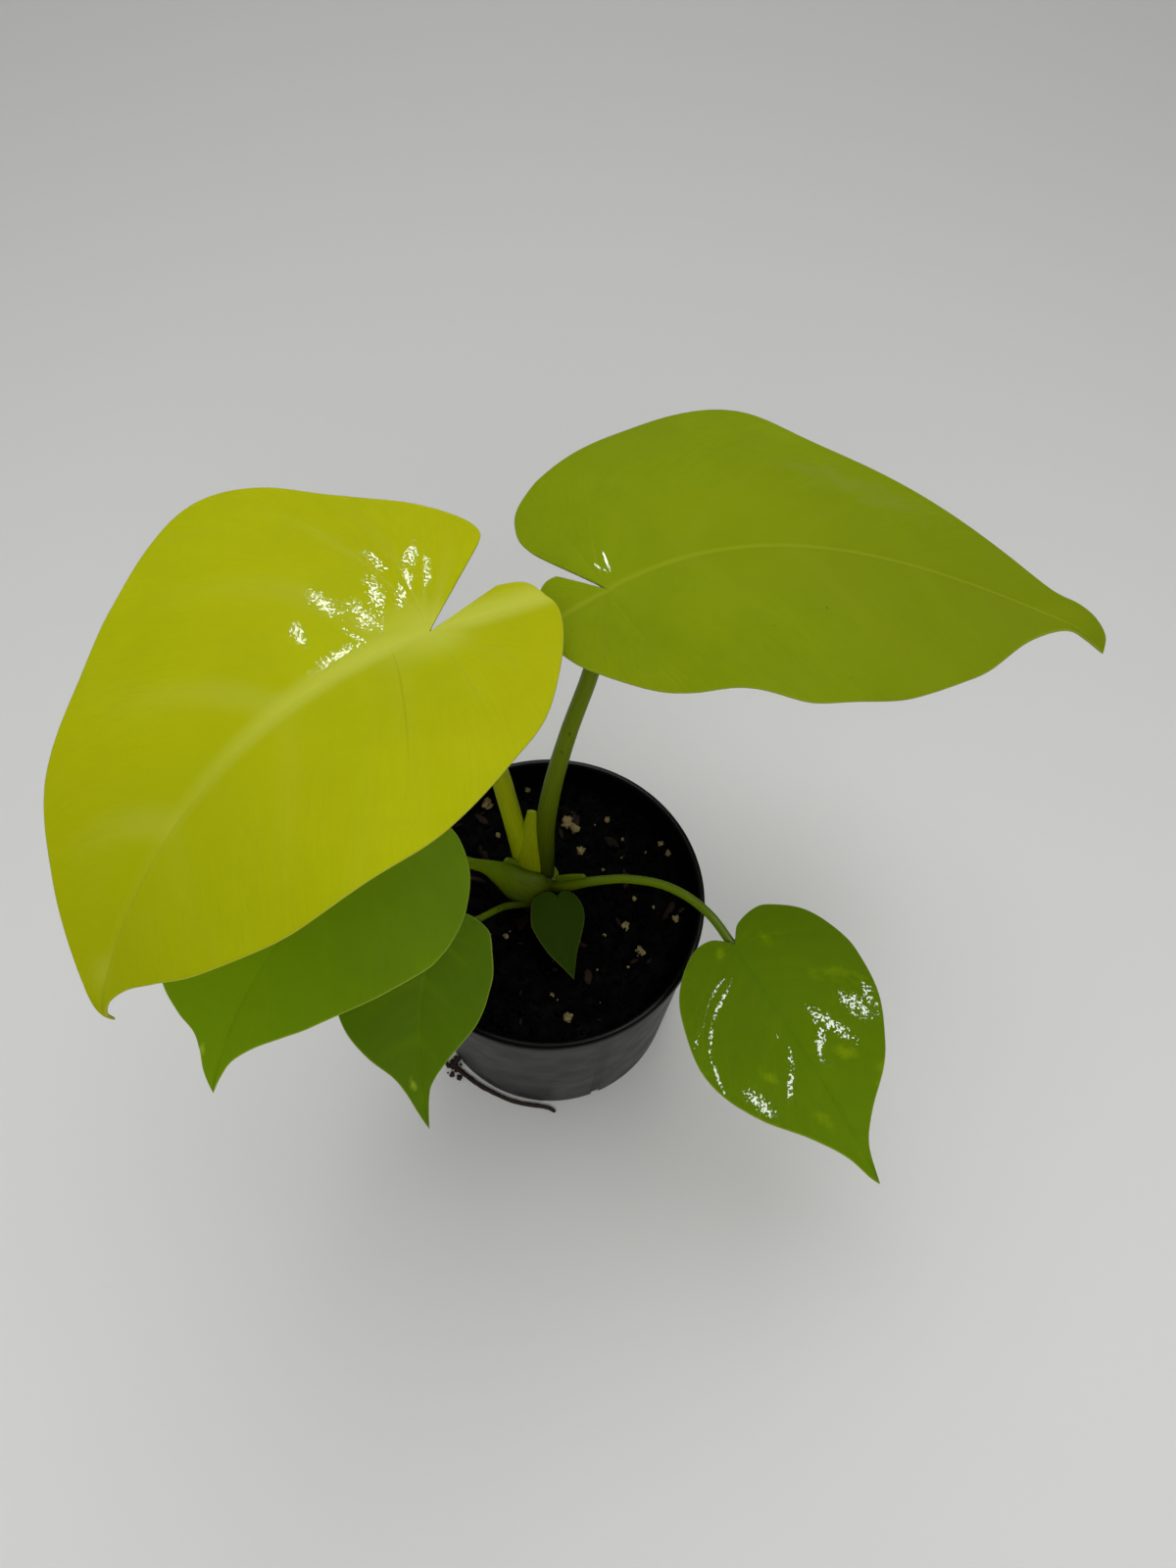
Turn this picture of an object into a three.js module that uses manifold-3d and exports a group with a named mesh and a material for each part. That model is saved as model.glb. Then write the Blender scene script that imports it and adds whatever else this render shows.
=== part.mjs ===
// A young golden monstera in its nursery pot, in millimetres, +Z up.
// The origin is the centre of the pot's foot on the surface that the pot stands on.
// +X is to the plant's right and +Y is away from the side it is looked at from.
import * as THREE from "three";
import { mergeVertices } from "three/addons/utils/BufferGeometryUtils.js";
import Module from "manifold-3d";

const wasm = await Module();
wasm.setup();

// Driving dimensions
const gap = 0.3;
const potHeight = 95;
const rimRadius = 52;
const footRadius = 46;
const wall = 1.6;
const lipHeight = 4.5;
const lipOverhang = 0.9;
const floorThickness = 2.5;
const cornerRadius = 1;
const potSides = 48;
const drainSlots = 5;
const drainWidth = 3.4;
const drainLength = 11;
const drainHeight = 5;
const drainFirstAngle = 222;
const soilTop = 84;
const soilRelief = 0.9;
const soilSeed = 7;
const bladeThickness = 0.8;
const keelDepth = 1.1;
const midribSteps = 120;
const tipStart = 0.89;
const tipEnd = 0.98;

// Each leaf: where the stalk meets the blade, the blade's length and how the midrib runs from
// there, with angles in degrees. heading turns from +X, pitch is above level, bend and bendMore
// change it along the midrib, tipDrop curls the drip tip, fold lifts both halves beside the
// midrib, and the curls, in radians per millimetre, bring them down again. left and right are
// the margins of its halves as [along, out], from the lobe's inner corner round to the tip.
const leaves = {
  big_left: {
    base: [-28.2, 12.4, 224],
    length: 138,
    heading: 211.5,
    sweep: 36.5,
    pitch: 10,
    bend: -71,
    bendMore: 4,
    tipDrop: -41,
    roll: 6,
    twist: -3.5,
    fold: 12,
    curlLeft: 0.0052,
    curlRight: 0.0033,
    ripple: 1.2,
    wave: 52,
    rows: 30,
    columns: 5,
    left: [[-22, -7], [-30, -5], [-33, 3], [-30, 13], [-21, 27], [-8, 41], [10, 50.5],
      [28, 53.5], [46, 52], [63, 48], [80, 40.5], [99, 27], [110, 15.5], [117, 8], [124, 3],
      [130, 1.4], [138, 0]],
    right: [[-22, -19], [-26, -24], [-23, -31], [-12, -41.5], [3, -50.5], [15, -59.5],
      [28, -64], [40, -61], [53, -52.5], [67, -42.5], [87, -33.5], [102, -21.5], [114, -12],
      [124, -5], [130, -2], [138, 0]],
  },
  big_right: {
    base: [15, 36.6, 212],
    length: 142.5,
    heading: 29.5,
    sweep: -63,
    pitch: 14,
    bend: -89.5,
    bendMore: 82,
    tipDrop: -36,
    roll: -8,
    twist: 4,
    fold: 8,
    curlLeft: 0.0056,
    curlRight: 0.0056,
    ripple: 1.2,
    wave: 46,
    rows: 30,
    columns: 5,
    left: [[-8, 15], [-12, 24], [-12.5, 32], [-8, 41], [5, 48.5], [21, 55.5], [35, 59.5],
      [48, 56], [61, 43.5], [75, 34], [91, 24], [107, 15.5], [122, 8.5], [130, 7.5],
      [136, 6.5], [140.5, 4.5], [142.5, 0]],
    right: [[-9.5, 12], [-13, 12], [-16.5, 9], [-19, 3.5], [-20.5, -4], [-19, -13], [-15, -22],
      [-5, -35.5], [4, -42], [18, -46.5], [35, -51.5], [48, -53], [65, -52], [80, -48],
      [93, -42.5], [104, -36], [113, -28], [122, -12.5], [130, -3], [136, -1.5], [142.5, 0]],
  },
  mid_left: {
    base: [-45.3, -8.5, 152],
    length: 90,
    heading: 222,
    sweep: 31.5,
    pitch: 7,
    bend: -45,
    bendMore: -7,
    tipDrop: -10,
    roll: -1.5,
    twist: -1.5,
    fold: 8,
    curlLeft: 0.006,
    curlRight: 0.006,
    ripple: 0.8,
    wave: 38,
    rows: 24,
    columns: 4,
    left: [[-16, 4.5], [-16, 13], [-11.5, 24], [-3, 33], [4, 36.8], [12, 38.5], [21, 38],
      [38.5, 32.8], [56, 22.3], [64, 15.6], [71, 8.8], [77.5, 3.8], [83, 1.8], [90, 0]],
    right: [[-14, -5], [-15.5, -14.5], [-9.5, -28], [4.5, -37.5], [20, -40.5], [38, -38],
      [52, -33], [64.5, -24], [70.5, -15.7], [73.8, -9.3], [78, -6], [83, -3.7], [90, 0]],
  },
  low_left: {
    base: [-34.2, -23.3, 114],
    length: 60.5,
    heading: 257.5,
    sweep: 29,
    pitch: -12,
    bend: -26,
    bendMore: -1.5,
    tipDrop: -10,
    roll: 0,
    twist: 0,
    fold: 8,
    curlLeft: 0.006,
    curlRight: 0.006,
    ripple: 0.5,
    wave: 30,
    rows: 20,
    columns: 4,
    left: [[-7.5, 3], [-9, 8], [-6.5, 15], [-2.5, 18.2], [7.5, 21], [15.5, 20.6],
      [22.5, 19.2], [29, 16.2], [39.5, 7.8], [44.5, 4], [49, 2], [60.5, 0]],
    right: [[-8, -3.5], [-9, -10], [-6, -19], [2, -25.8], [12.5, -27.5], [22, -26],
      [29.5, -22.3], [36.5, -15.4], [42, -8.7], [47, -5.2], [53, -2.7], [60.5, 0]],
  },
  low_right: {
    base: [60, -19.6, 106],
    length: 84,
    heading: -56,
    sweep: -1.5,
    pitch: -1,
    bend: -23,
    bendMore: 1.5,
    tipDrop: -10,
    roll: -4,
    twist: 2.5,
    fold: 7.5,
    curlLeft: 0.006,
    curlRight: 0.006,
    ripple: 0.6,
    wave: 34,
    rows: 24,
    columns: 4,
    left: [[-2.5, 2], [-5.5, 5], [-7, 12], [-5.5, 17.5], [2, 26.5], [15, 32.5], [24, 33],
      [36, 30.5], [47, 25], [54.5, 19.5], [63, 9.5], [70, 3.5], [76, 1.2], [84, 0]],
    right: [[-3, -3], [-5, -6.5], [-4.5, -13], [1, -21.5], [9.5, -28], [24, -32],
      [36.5, -30.5], [48.5, -24], [60.5, -13.5], [71, -6], [80, -2.3], [84, 0]],
  },
  tiny: {
    base: [3, -1.6, 96],
    length: 27.5,
    heading: -79,
    sweep: 7,
    pitch: -4.5,
    bend: -26,
    bendMore: 0,
    tipDrop: 0,
    roll: 0,
    twist: 0,
    fold: 8,
    curlLeft: 0.008,
    curlRight: 0.008,
    ripple: 0.3,
    wave: 15,
    rows: 14,
    columns: 3,
    left: [[-1.8, 1], [-2.2, 2.8], [-0.4, 5.5], [3.5, 7.5], [7.5, 7.8], [12, 6.4], [17.5, 3.7],
      [21.5, 2.1], [27.5, 0]],
    right: [[-2, -1.3], [-2.4, -4], [-1, -7.5], [1.5, -9], [7, -10.1], [10, -9.6],
      [17, -6.6], [21, -4], [24, -2], [27.5, 0]],
  },
};

// Each stalk: stations of x, y, z, half width and half thickness from the crown to the blade,
// and the direction that the half width is measured in. wing is the free edge of its sheath.
const stalks = {
  big_left: {
    wide: [1, 0.2, 0],
    steps: 14,
    stations: [[-8.3, 10.2, 89, 3.5, 3.2], [-9.6, 11.6, 103, 3.3, 3.2], [-11.2, 13, 118, 3.2, 3.1],
      [-13.2, 14.4, 135, 3.1, 3], [-15.2, 15, 152, 3, 3], [-20.7, 14.9, 190, 2.7, 2.7],
      [-25.8, 13.2, 212, 2.5, 2.5], [-28, 12, 223, 2.5, 2.3]],
  },
  big_right: {
    wide: [1, 0, 0],
    steps: 14,
    stations: [[-2.6, 9.2, 89, 3.9, 3.4], [-2.4, 11.2, 102, 3.8, 3.3], [-1.6, 14.2, 119, 3.3, 3.1],
      [1.1, 18.4, 140, 2.9, 2.8], [5.4, 23, 162, 2.6, 2.5], [10.9, 28.2, 184, 2.4, 2.3],
      [13.4, 31.8, 199, 2.3, 2.2], [15, 35.4, 210.6, 2.3, 2]],
    wing: [[-6.6, 6.9, 91, 4.2, 1.2], [-6.8, 8.2, 103, 3.6, 1.1], [-6.6, 10.6, 112, 3, 1],
      [-6.2, 13, 119.5, 2.4, 0.9], [-5.7, 15.2, 126, 1.5, 0.7]],
  },
  mid_left: {
    wide: [0, 0.55, 0.83],
    steps: 16,
    stations: [[0.5, 3.6, 90.5, 4.2, 2], [-4.1, 2.4, 92.5, 6.3, 3.4], [-9.5, 2.4, 96, 6, 3.6],
      [-15, 3.4, 102, 4.2, 3], [-20.1, 2, 111, 2.3, 2.1], [-24.3, -1, 120, 1.75, 1.65],
      [-33, -5, 136, 1.65, 1.6], [-42, -8.2, 149, 1.7, 1.6], [-45.4, -8.8, 150.8, 1.7, 1.5]],
    wing: [[-7, 6.8, 98, 2, 1], [-11.5, 7.6, 101, 2.2, 1], [-15, 7.4, 104, 1.5, 0.9]],
  },
  low_right: {
    wide: [0, 0, 1],
    steps: 18,
    stations: [[1.5, 4.2, 91, 3.1, 2], [5.6, 3.2, 95.5, 2.7, 1.9], [12.8, 2.4, 101, 1.7, 1.6],
      [19.2, 2.4, 103.5, 1.5, 1.5], [25.5, 2, 105.5, 1.45, 1.45], [35.6, -0.1, 107.5, 1.45, 1.45],
      [44.4, -4.2, 108, 1.5, 1.5], [52.2, -10.4, 107.4, 1.5, 1.5], [58, -17.2, 105, 1.6, 1.5],
      [61, -21.4, 104, 1.5, 1.3]],
    wing: [[2.8, 4.6, 97, 2.2, 0.9], [7, 4, 100.4, 2.1, 0.8], [11.8, 3.2, 104, 1.2, 0.6]],
  },
  low_left: {
    wide: [0, 0, 1],
    steps: 12,
    stations: [[-4.5, 1.5, 86.8, 1.5, 1.4], [-6.5, -1, 89, 1.4, 1.3],
      [-14.1, -6.2, 98, 1.15, 1.1], [-21.5, -14.9, 108, 1.1, 1.1], [-28.5, -20.8, 112.4, 1.1, 1.1],
      [-34.4, -24, 112.9, 1.2, 1]],
  },
  tiny: {
    wide: [1, 0, 0],
    steps: 6,
    stations: [[-0.5, 3.4, 87.6, 1.6, 1.3], [1.4, 0.6, 91, 1.3, 1.1], [2.8, -1.9, 94.8, 1.1, 0.9]],
  },
};
const stem = {
  wide: [1, 0, 0],
  steps: 6,
  stations: [[-4.2, 8.2, 60, 4.8, 4.2], [-4.3, 8.6, 76, 6.4, 5], [-4.6, 9.2, 88, 7.3, 5.4],
    [-4.6, 9.4, 91.5, 7, 4.8]],
};

// Roots: the root crown under the stem and what spreads from it. The last root grows out of a
// drain slot and lies round the pot's foot.
const rootCrown = {
  wide: [1, 0, 0],
  steps: 3,
  stations: [[-4.2, 8.2, 59.6, 4.2, 4], [-4.2, 8.2, 54, 3.4, 3.4], [-4.2, 8.2, 48, 1.6, 1.6]],
};
const rootRun = { wide: [0, 0, 1], sides: 6 };
const roots = [
  { steps: 7, stations: [[-4.2, 8.2, 54, 1.8, 1.8], [12, 12, 46, 1.4, 1.4], [24, 17, 30, 1.1, 1.1],
    [32, 18, 12, 0.8, 0.8]] },
  { steps: 7, stations: [[-4.2, 8.2, 56, 1.8, 1.8], [-8, 20, 50, 1.4, 1.4], [-10, 32, 34, 1.1, 1.1],
    [-4, 38, 14, 0.8, 0.8]] },
  { steps: 7, stations: [[-4.2, 8.2, 53, 1.8, 1.8], [10, -6, 44, 1.4, 1.4], [19, -18, 28, 1.1, 1.1],
    [20, -30, 12, 0.8, 0.8]] },
  { steps: 22, stations: [[-4.2, 8.2, 51, 1.8, 1.8], [-12, -4, 40, 1.5, 1.5], [-22, -16, 22, 1.3, 1.3],
    [-28, -25, 6, 1.1, 1.1], [-33.5, -30.2, 2.4, 1, 1], [-37, -34, 1.5, 0.95, 0.95],
    [-34, -38.5, 1.2, 0.9, 0.9], [-24, -43.5, 1.2, 0.9, 0.9], [-12, -47, 1.2, 0.8, 0.8],
    [0, -48.8, 1.2, 0.8, 0.8], [4, -50, 1.1, 0.6, 0.6]] },
];
const rootCrumb = { at: [-36.5, -34.5, 2.2], radius: 2 };

// White perlite that shows on the soil: x, y and size. Smaller bits are scattered between them.
const perlite = [[-24, 38, 2.6], [5, 32, 2.8], [7.5, 29.5, 2.4], [10, 21.5, 2.2], [19, 34, 1.3],
  [38, 26, 1.2], [40.5, 22, 1.5], [29, 4, 1.2], [26, -6, 1.7], [31, -15, 2.2], [-14, -11, 1.5],
  [8, -38.5, 2], [-10, 45, 1.2], [-19, 25.5, 1.3], [43, -3, 1.5]];
const scatteredBits = 14;
const bitSizes = [1, 1.8];

const materials = {
  pot: new THREE.MeshStandardMaterial({ color: 0x26282a, roughness: 0.45 }),
  soil: new THREE.MeshStandardMaterial({ color: 0x1a1512, roughness: 0.95 }),
  roots: new THREE.MeshStandardMaterial({ color: 0x54402c, roughness: 0.8 }),
  gold: new THREE.MeshStandardMaterial({ color: 0xb7bd22, roughness: 0.35 }),
  lime: new THREE.MeshStandardMaterial({ color: 0x8c9f18, roughness: 0.35 }),
  green: new THREE.MeshStandardMaterial({ color: 0x5f7d14, roughness: 0.35 }),
};

const { degToRad, clamp, smoothstep } = THREE.MathUtils;
const vector = (xyz) => new THREE.Vector3(xyz[0], xyz[1], xyz[2]);

// Solids and geometries
function solidOf(geometry) {
  const bare = new THREE.BufferGeometry();
  bare.setAttribute("position", geometry.getAttribute("position").clone());
  bare.setIndex(geometry.index);
  const merged = mergeVertices(bare, 1e-4);
  return new wasm.Manifold(new wasm.Mesh({
    numProp: 3,
    vertProperties: merged.getAttribute("position").array,
    triVerts: new Uint32Array(merged.index.array),
  }));
}

function geometryOf(solid) {
  const mesh = solid.getMesh();
  const geometry = new THREE.BufferGeometry();
  geometry.setAttribute("position", new THREE.BufferAttribute(mesh.vertProperties, 3));
  geometry.setIndex(new THREE.BufferAttribute(mesh.triVerts, 1));
  geometry.computeVertexNormals();
  return geometry;
}

function largestPiece(solid) {
  return solid.decompose().sort((a, b) => b.volume() - a.volume())[0];
}

function geometryFrom(points, triangles) {
  const geometry = new THREE.BufferGeometry().setFromPoints(points);
  geometry.setIndex(triangles.flat());
  geometry.computeVertexNormals();
  return geometry;
}

// A stalk, stem or root: an oval section carried along a smooth line through its stations.
// grow makes it larger all round, to cut the room that it needs out of a neighbour.
function stalkSolid({ stations, wide, steps, sides = 10 }, grow = 0) {
  const line = new THREE.CatmullRomCurve3(stations.map(vector), false, "catmullrom");
  const section = new THREE.SplineCurve(stations.map((s) => new THREE.Vector2(s[3], s[4])));
  const points = [];
  const triangles = [];
  for (let k = 0; k <= steps; k++) {
    const t = k / steps;
    const along = line.getTangent(t);
    const across = vector(wide).addScaledVector(along, -vector(wide).dot(along)).normalize();
    const over = along.clone().cross(across);
    const size = section.getPoint(t);
    const centre = line.getPoint(t);
    if (k === 0) centre.addScaledVector(along, -grow);
    if (k === steps) centre.addScaledVector(along, grow);
    for (let j = 0; j < sides; j++) {
      const turn = (2 * Math.PI * j) / sides;
      points.push(centre.clone()
        .addScaledVector(across, (size.x + grow) * Math.cos(turn))
        .addScaledVector(over, (size.y + grow) * Math.sin(turn)));
    }
    if (k === 0 || k === steps) points.push(centre);
  }
  const ring = (k, j) => k * sides + (k > 0 ? 1 : 0) + (j % sides);
  for (let j = 0; j < sides; j++) {
    for (let k = 0; k < steps; k++) {
      triangles.push([ring(k, j), ring(k, j + 1), ring(k + 1, j + 1)]);
      triangles.push([ring(k, j), ring(k + 1, j + 1), ring(k + 1, j)]);
    }
    triangles.push([sides, ring(0, j + 1), ring(0, j)]);
    triangles.push([points.length - 1, ring(steps, j), ring(steps, j + 1)]);
  }
  return solidOf(geometryFrom(points, triangles));
}

// The midrib as a chain of short steps, with the blade's directions at each.
function midribOf(leaf) {
  const stations = [];
  const point = vector(leaf.base);
  for (let i = 0; i <= midribSteps; i++) {
    const s = i / midribSteps;
    const drop = leaf.tipDrop * smoothstep(s, tipStart, tipEnd);
    const pitch = degToRad(leaf.pitch + leaf.bend * s + leaf.bendMore * s * s + drop);
    const heading = degToRad(leaf.heading + leaf.sweep * s);
    const roll = degToRad(leaf.roll + leaf.twist * s);
    const level = new THREE.Vector3(-Math.sin(heading), Math.cos(heading), 0);
    const along = new THREE.Vector3(Math.cos(heading), Math.sin(heading), 0);
    along.multiplyScalar(Math.cos(pitch)).setZ(Math.sin(pitch));
    const across = level.clone().applyAxisAngle(along, roll);
    const normal = along.clone().cross(across);
    const last = stations[i - 1];
    if (last) point.addScaledVector(last.along.clone().add(along), leaf.length / midribSteps / 2);
    stations.push({ point: point.clone(), along, across, normal });
  }
  return stations;
}

// A blade's middle surface: x is the way along the midrib, negative on the lobes behind the
// stalk, and d the way out from it on the half on side 1 or -1.
function surfaceOf(leaf) {
  const stations = midribOf(leaf);
  const fold = degToRad(leaf.fold);
  const halfWidth = Math.max(...leaf.left.map((corner) => corner[1]));
  return (x, d, side) => {
    const place = clamp(x / leaf.length, 0, 1) * midribSteps;
    const i = Math.min(Math.floor(place), midribSteps - 1);
    const mixed = (key) => stations[i][key].clone().lerp(stations[i + 1][key], place - i);
    const curl = side > 0 ? leaf.curlLeft : leaf.curlRight;
    const reach = (Math.sin(fold) - Math.sin(fold - curl * d)) / curl;
    const rise = (Math.cos(fold - curl * d) - Math.cos(fold)) / curl;
    const edge = (d / halfWidth) ** 2;
    const ripple = leaf.ripple * edge * Math.sin((2 * Math.PI * x) / leaf.wave + side);
    return mixed("point")
      .addScaledVector(mixed("along"), Math.min(x, 0))
      .addScaledVector(mixed("across"), side * reach)
      .addScaledVector(mixed("normal"), rise + ripple);
  };
}

// The margin of one half as a smooth line.
function marginOf(leaf, side) {
  const corners = side > 0 ? leaf.left : leaf.right;
  return new THREE.SplineCurve(corners.map(([x, y]) => new THREE.Vector2(x, y)));
}

// A blade: rows run from the midrib out to the margin as the side veins do. The first rows fan
// out from the stalk into the lobes. Both faces are split alike, and a keel runs under the midrib.
const fanShare = 0.42;
const veinLean = 1.25;
const firstColumn = 0.05;
function bladeSolid(leaf, grow = 0) {
  const surface = surfaceOf(leaf);
  const { rows, columns } = leaf;
  const fanRows = Math.round(rows * fanShare);
  const top = [];
  const bottom = [];
  const triangles = [];

  function addSpot(x, d, side, onRib = false) {
    const step = 0.05;
    const middle = surface(x, d, side);
    const ahead = surface(x + step, d, side).sub(surface(x - step, d, side));
    const aside = surface(x, d + step, side).sub(surface(x, d - step, side));
    const normal = ahead.cross(aside).multiplyScalar(side).normalize();
    const keel = onRib ? keelDepth * (1 - x / leaf.length) : 0;
    if (onRib) {
      const between = surface(x, 1, 1).add(surface(x, 1, -1)).multiplyScalar(0.5);
      normal.copy(between.sub(surface(x, 0, 1))).normalize();
    }
    top.push(middle.clone().addScaledVector(normal, bladeThickness / 2 + grow));
    bottom.push(middle.clone().addScaledVector(normal, -bladeThickness / 2 - keel - grow));
    return top.length - 1;
  }

  const ribPlace = (i) => (i <= fanRows ? 0 : ((i - fanRows) / (rows - fanRows)) ** veinLean);
  const share = (j) => (j === 0 ? 0 : firstColumn + ((1 - firstColumn) * (j - 1)) / (columns - 1));
  const margins = [1, -1].map((side) => marginOf(leaf, side).getSpacedPoints(rows));
  const notch = margins[0][0].clone().normalize().add(margins[1][0].clone().normalize());
  const corner = notch.setLength(2 * grow);
  const rib = [];
  for (let i = 0; i <= rows; i++) {
    const inFan = i > 0 && i <= fanRows;
    const x = i === 0 ? corner.x : ribPlace(i) * leaf.length;
    rib.push(inFan ? rib[0] : addSpot(x, i === 0 ? corner.y : 0, 1, true));
  }
  const halves = [1, -1].map((side, h) => rib.map((start, i) => {
    const row = [start];
    const inner = i <= fanRows ? corner : new THREE.Vector2(ribPlace(i) * leaf.length, 0);
    for (let j = 1; j <= columns; j++) {
      const spot = inner.clone().lerp(margins[h][i], share(j));
      row.push(i === rows ? start : addSpot(spot.x, side * spot.y, side));
    }
    return row;
  }));

  const count = top.length;
  function addFace(a, b, c) {
    if (a === b || b === c || c === a) return;
    triangles.push([a, b, c], [a + count, c + count, b + count]);
  }
  halves.forEach((half, h) => {
    for (let i = 0; i < rows; i++) {
      for (let j = 0; j < columns; j++) {
        const corners = [half[i][j], half[i + 1][j], half[i + 1][j + 1], half[i][j + 1]];
        const [a, b, c, d] = h === 0 ? corners : corners.reverse();
        addFace(a, b, c);
        addFace(a, c, d);
      }
    }
  });
  const [left, right] = halves;
  const edge = [
    ...right.map((row) => row[columns]),
    ...left.slice(0, rows).reverse().map((row) => row[columns]),
    ...left[0].slice(0, columns).reverse(),
    ...right[0].slice(1, columns),
  ];
  edge.forEach((p, k) => {
    const q = edge[(k + 1) % edge.length];
    triangles.push([p, p + count, q], [q, p + count, q + count]);
  });
  return solidOf(geometryFrom([...top, ...bottom], triangles));
}

// The pot: a thin tapered shell with a small lip and narrow drain slots round the floor's edge.
const outerRadiusAt = (z) => footRadius + ((rimRadius - lipOverhang - footRadius) * z) / potHeight;
const innerRadiusAt = (z) => outerRadiusAt(z) - wall;

function potSolid() {
  const lipFoot = potHeight - lipHeight;
  const profile = [
    [0, 0],
    [footRadius - cornerRadius, 0],
    [footRadius, cornerRadius],
    [outerRadiusAt(lipFoot), lipFoot],
    [rimRadius, lipFoot + lipOverhang],
    [rimRadius, potHeight - 1],
    [rimRadius - 0.6, potHeight - 0.2],
    [rimRadius - 1.4, potHeight],
    [rimRadius - 2.2, potHeight - 0.4],
    [innerRadiusAt(potHeight - 2), potHeight - 2],
    [innerRadiusAt(floorThickness + cornerRadius), floorThickness + cornerRadius],
    [innerRadiusAt(floorThickness) - cornerRadius, floorThickness],
    [0, floorThickness],
  ];
  const points = profile.map(([r, z]) => new THREE.Vector2(r, z));
  let solid = solidOf(new THREE.LatheGeometry(points, potSides).rotateX(Math.PI / 2));
  for (let k = 0; k < drainSlots; k++) {
    const slot = new THREE.BoxGeometry(drainLength, drainWidth, 2 * drainHeight);
    slot.translate(footRadius - drainLength / 2 + 2, 0, 0);
    slot.rotateZ(degToRad(drainFirstAngle + (360 * k) / drainSlots));
    solid = solid.subtract(solidOf(slot));
  }
  return solid;
}

// A repeatable random draw between 0 and 1.
function seededDraw(seed) {
  let state = seed;
  return () => {
    state = (state * 16807) % 2147483647;
    return state / 2147483647;
  };
}

const soilHeightAt = (x, y) => soilTop
  + soilRelief * Math.sin(x / 6.1 + 1.3) * Math.cos(y / 7.3)
  + soilRelief * 0.6 * Math.sin(x / 3.4 - y / 4.1);

function soilSolid() {
  const low = floorThickness + gap;
  const corner = low + cornerRadius;
  const side = innerRadiusAt(soilTop) - gap;
  const profile = [
    [0, low],
    [innerRadiusAt(corner) - gap - 2 * cornerRadius, low],
    [innerRadiusAt(corner) - gap, corner],
    [side, soilTop],
  ];
  const rings = 6;
  for (let k = rings - 1; k >= 0; k--) profile.push([(side * k) / rings, soilTop]);
  const points = profile.map(([r, z]) => new THREE.Vector2(r, z));
  const ground = new THREE.LatheGeometry(points, 32).rotateX(Math.PI / 2);
  const spots = ground.getAttribute("position");
  for (let i = 0; i < spots.count; i++) {
    const x = spots.getX(i);
    const y = spots.getY(i);
    if (spots.getZ(i) > soilTop - 1) spots.setZ(i, soilHeightAt(x, y));
  }
  let solid = solidOf(ground);
  const draw = seededDraw(soilSeed);
  const bits = perlite.map(([x, y, size]) => [x, y, size]);
  for (let k = 0; k < scatteredBits; k++) {
    const turn = 2 * Math.PI * draw();
    const reach = 14 + 31 * Math.sqrt(draw());
    bits.push([reach * Math.cos(turn), reach * Math.sin(turn), bitSizes[0] + bitSizes[1] * draw() ** 2]);
  }
  for (const [x, y, size] of bits) {
    const bit = new THREE.IcosahedronGeometry(size, 0);
    bit.scale(1, 0.55 + 0.35 * draw(), 0.5 + 0.3 * draw());
    bit.rotateZ(2 * Math.PI * draw());
    bit.translate(x, y, soilHeightAt(x, y));
    solid = solid.add(solidOf(bit));
  }
  return solid.subtract(stalkSolid(stem, gap)).subtract(rootSolid(gap));
}

function rootSolid(grow = 0) {
  let solid = stalkSolid(rootCrown, grow);
  for (const root of roots) solid = solid.add(stalkSolid({ ...rootRun, ...root }, grow));
  const crumb = new THREE.IcosahedronGeometry(rootCrumb.radius + grow, 0);
  crumb.scale(1.2, 0.9, 0.8);
  crumb.translate(...rootCrumb.at);
  return solid.add(solidOf(crumb));
}

// A leaf stalk with the wing of its sheath, and with room for what it wraps and carries.
function wholeStalk(name, grow = 0) {
  const stalk = stalks[name];
  let solid = stalkSolid(stalk, grow);
  if (stalk.wing) {
    const wing = stalkSolid({ wide: stalk.wide, steps: 5, sides: 8, stations: stalk.wing }, grow);
    solid = solid.add(wing);
  }
  return solid;
}

function fittedStalk(name, inside) {
  let solid = wholeStalk(name).subtract(stalkSolid(stem, gap)).subtract(bladeSolid(leaves[name], gap));
  for (const other of inside) solid = solid.subtract(wholeStalk(other, gap));
  return largestPiece(solid);
}

// Which stalks each sheath wraps round, from the newest leaf at the middle outwards.
const wraps = {
  big_left: [],
  big_right: ["big_left"],
  mid_left: ["big_left", "big_right"],
  low_right: ["big_left", "big_right", "mid_left"],
  low_left: ["big_left", "big_right", "mid_left", "low_right"],
  tiny: ["big_left", "big_right", "mid_left", "low_right", "low_left"],
};
const leafMaterial = {
  big_left: materials.gold,
  big_right: materials.lime,
  mid_left: materials.green,
  low_left: materials.green,
  low_right: materials.green,
  tiny: materials.green,
};

const plant = new THREE.Group();
plant.name = "potted_golden_monstera";

function addPiece(name, solid, material) {
  const mesh = new THREE.Mesh(geometryOf(solid), material);
  mesh.name = name;
  plant.add(mesh);
}

addPiece("pot", potSolid(), materials.pot);
addPiece("soil", soilSolid(), materials.soil);
addPiece("roots", rootSolid(), materials.roots);
addPiece("stem", stalkSolid(stem), materials.lime);
for (const name of Object.keys(leaves)) {
  addPiece("stalk_" + name, fittedStalk(name, wraps[name]), leafMaterial[name]);
  addPiece("leaf_" + name, bladeSolid(leaves[name]), leafMaterial[name]);
}

export default plant;
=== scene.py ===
"""A young golden monstera in its black nursery pot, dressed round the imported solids.

Lengths in the plans below are millimetres, in the same frame as the solids: the origin is the
centre of the pot's foot, +Z is up and +Y is away from the side that the plant is looked at from.
"""

import math
import random

import bmesh
import bpy
from bpy.props import FloatProperty, FloatVectorProperty, IntProperty, PointerProperty
from mathutils import Matrix, Quaternion, Vector, noise


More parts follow.
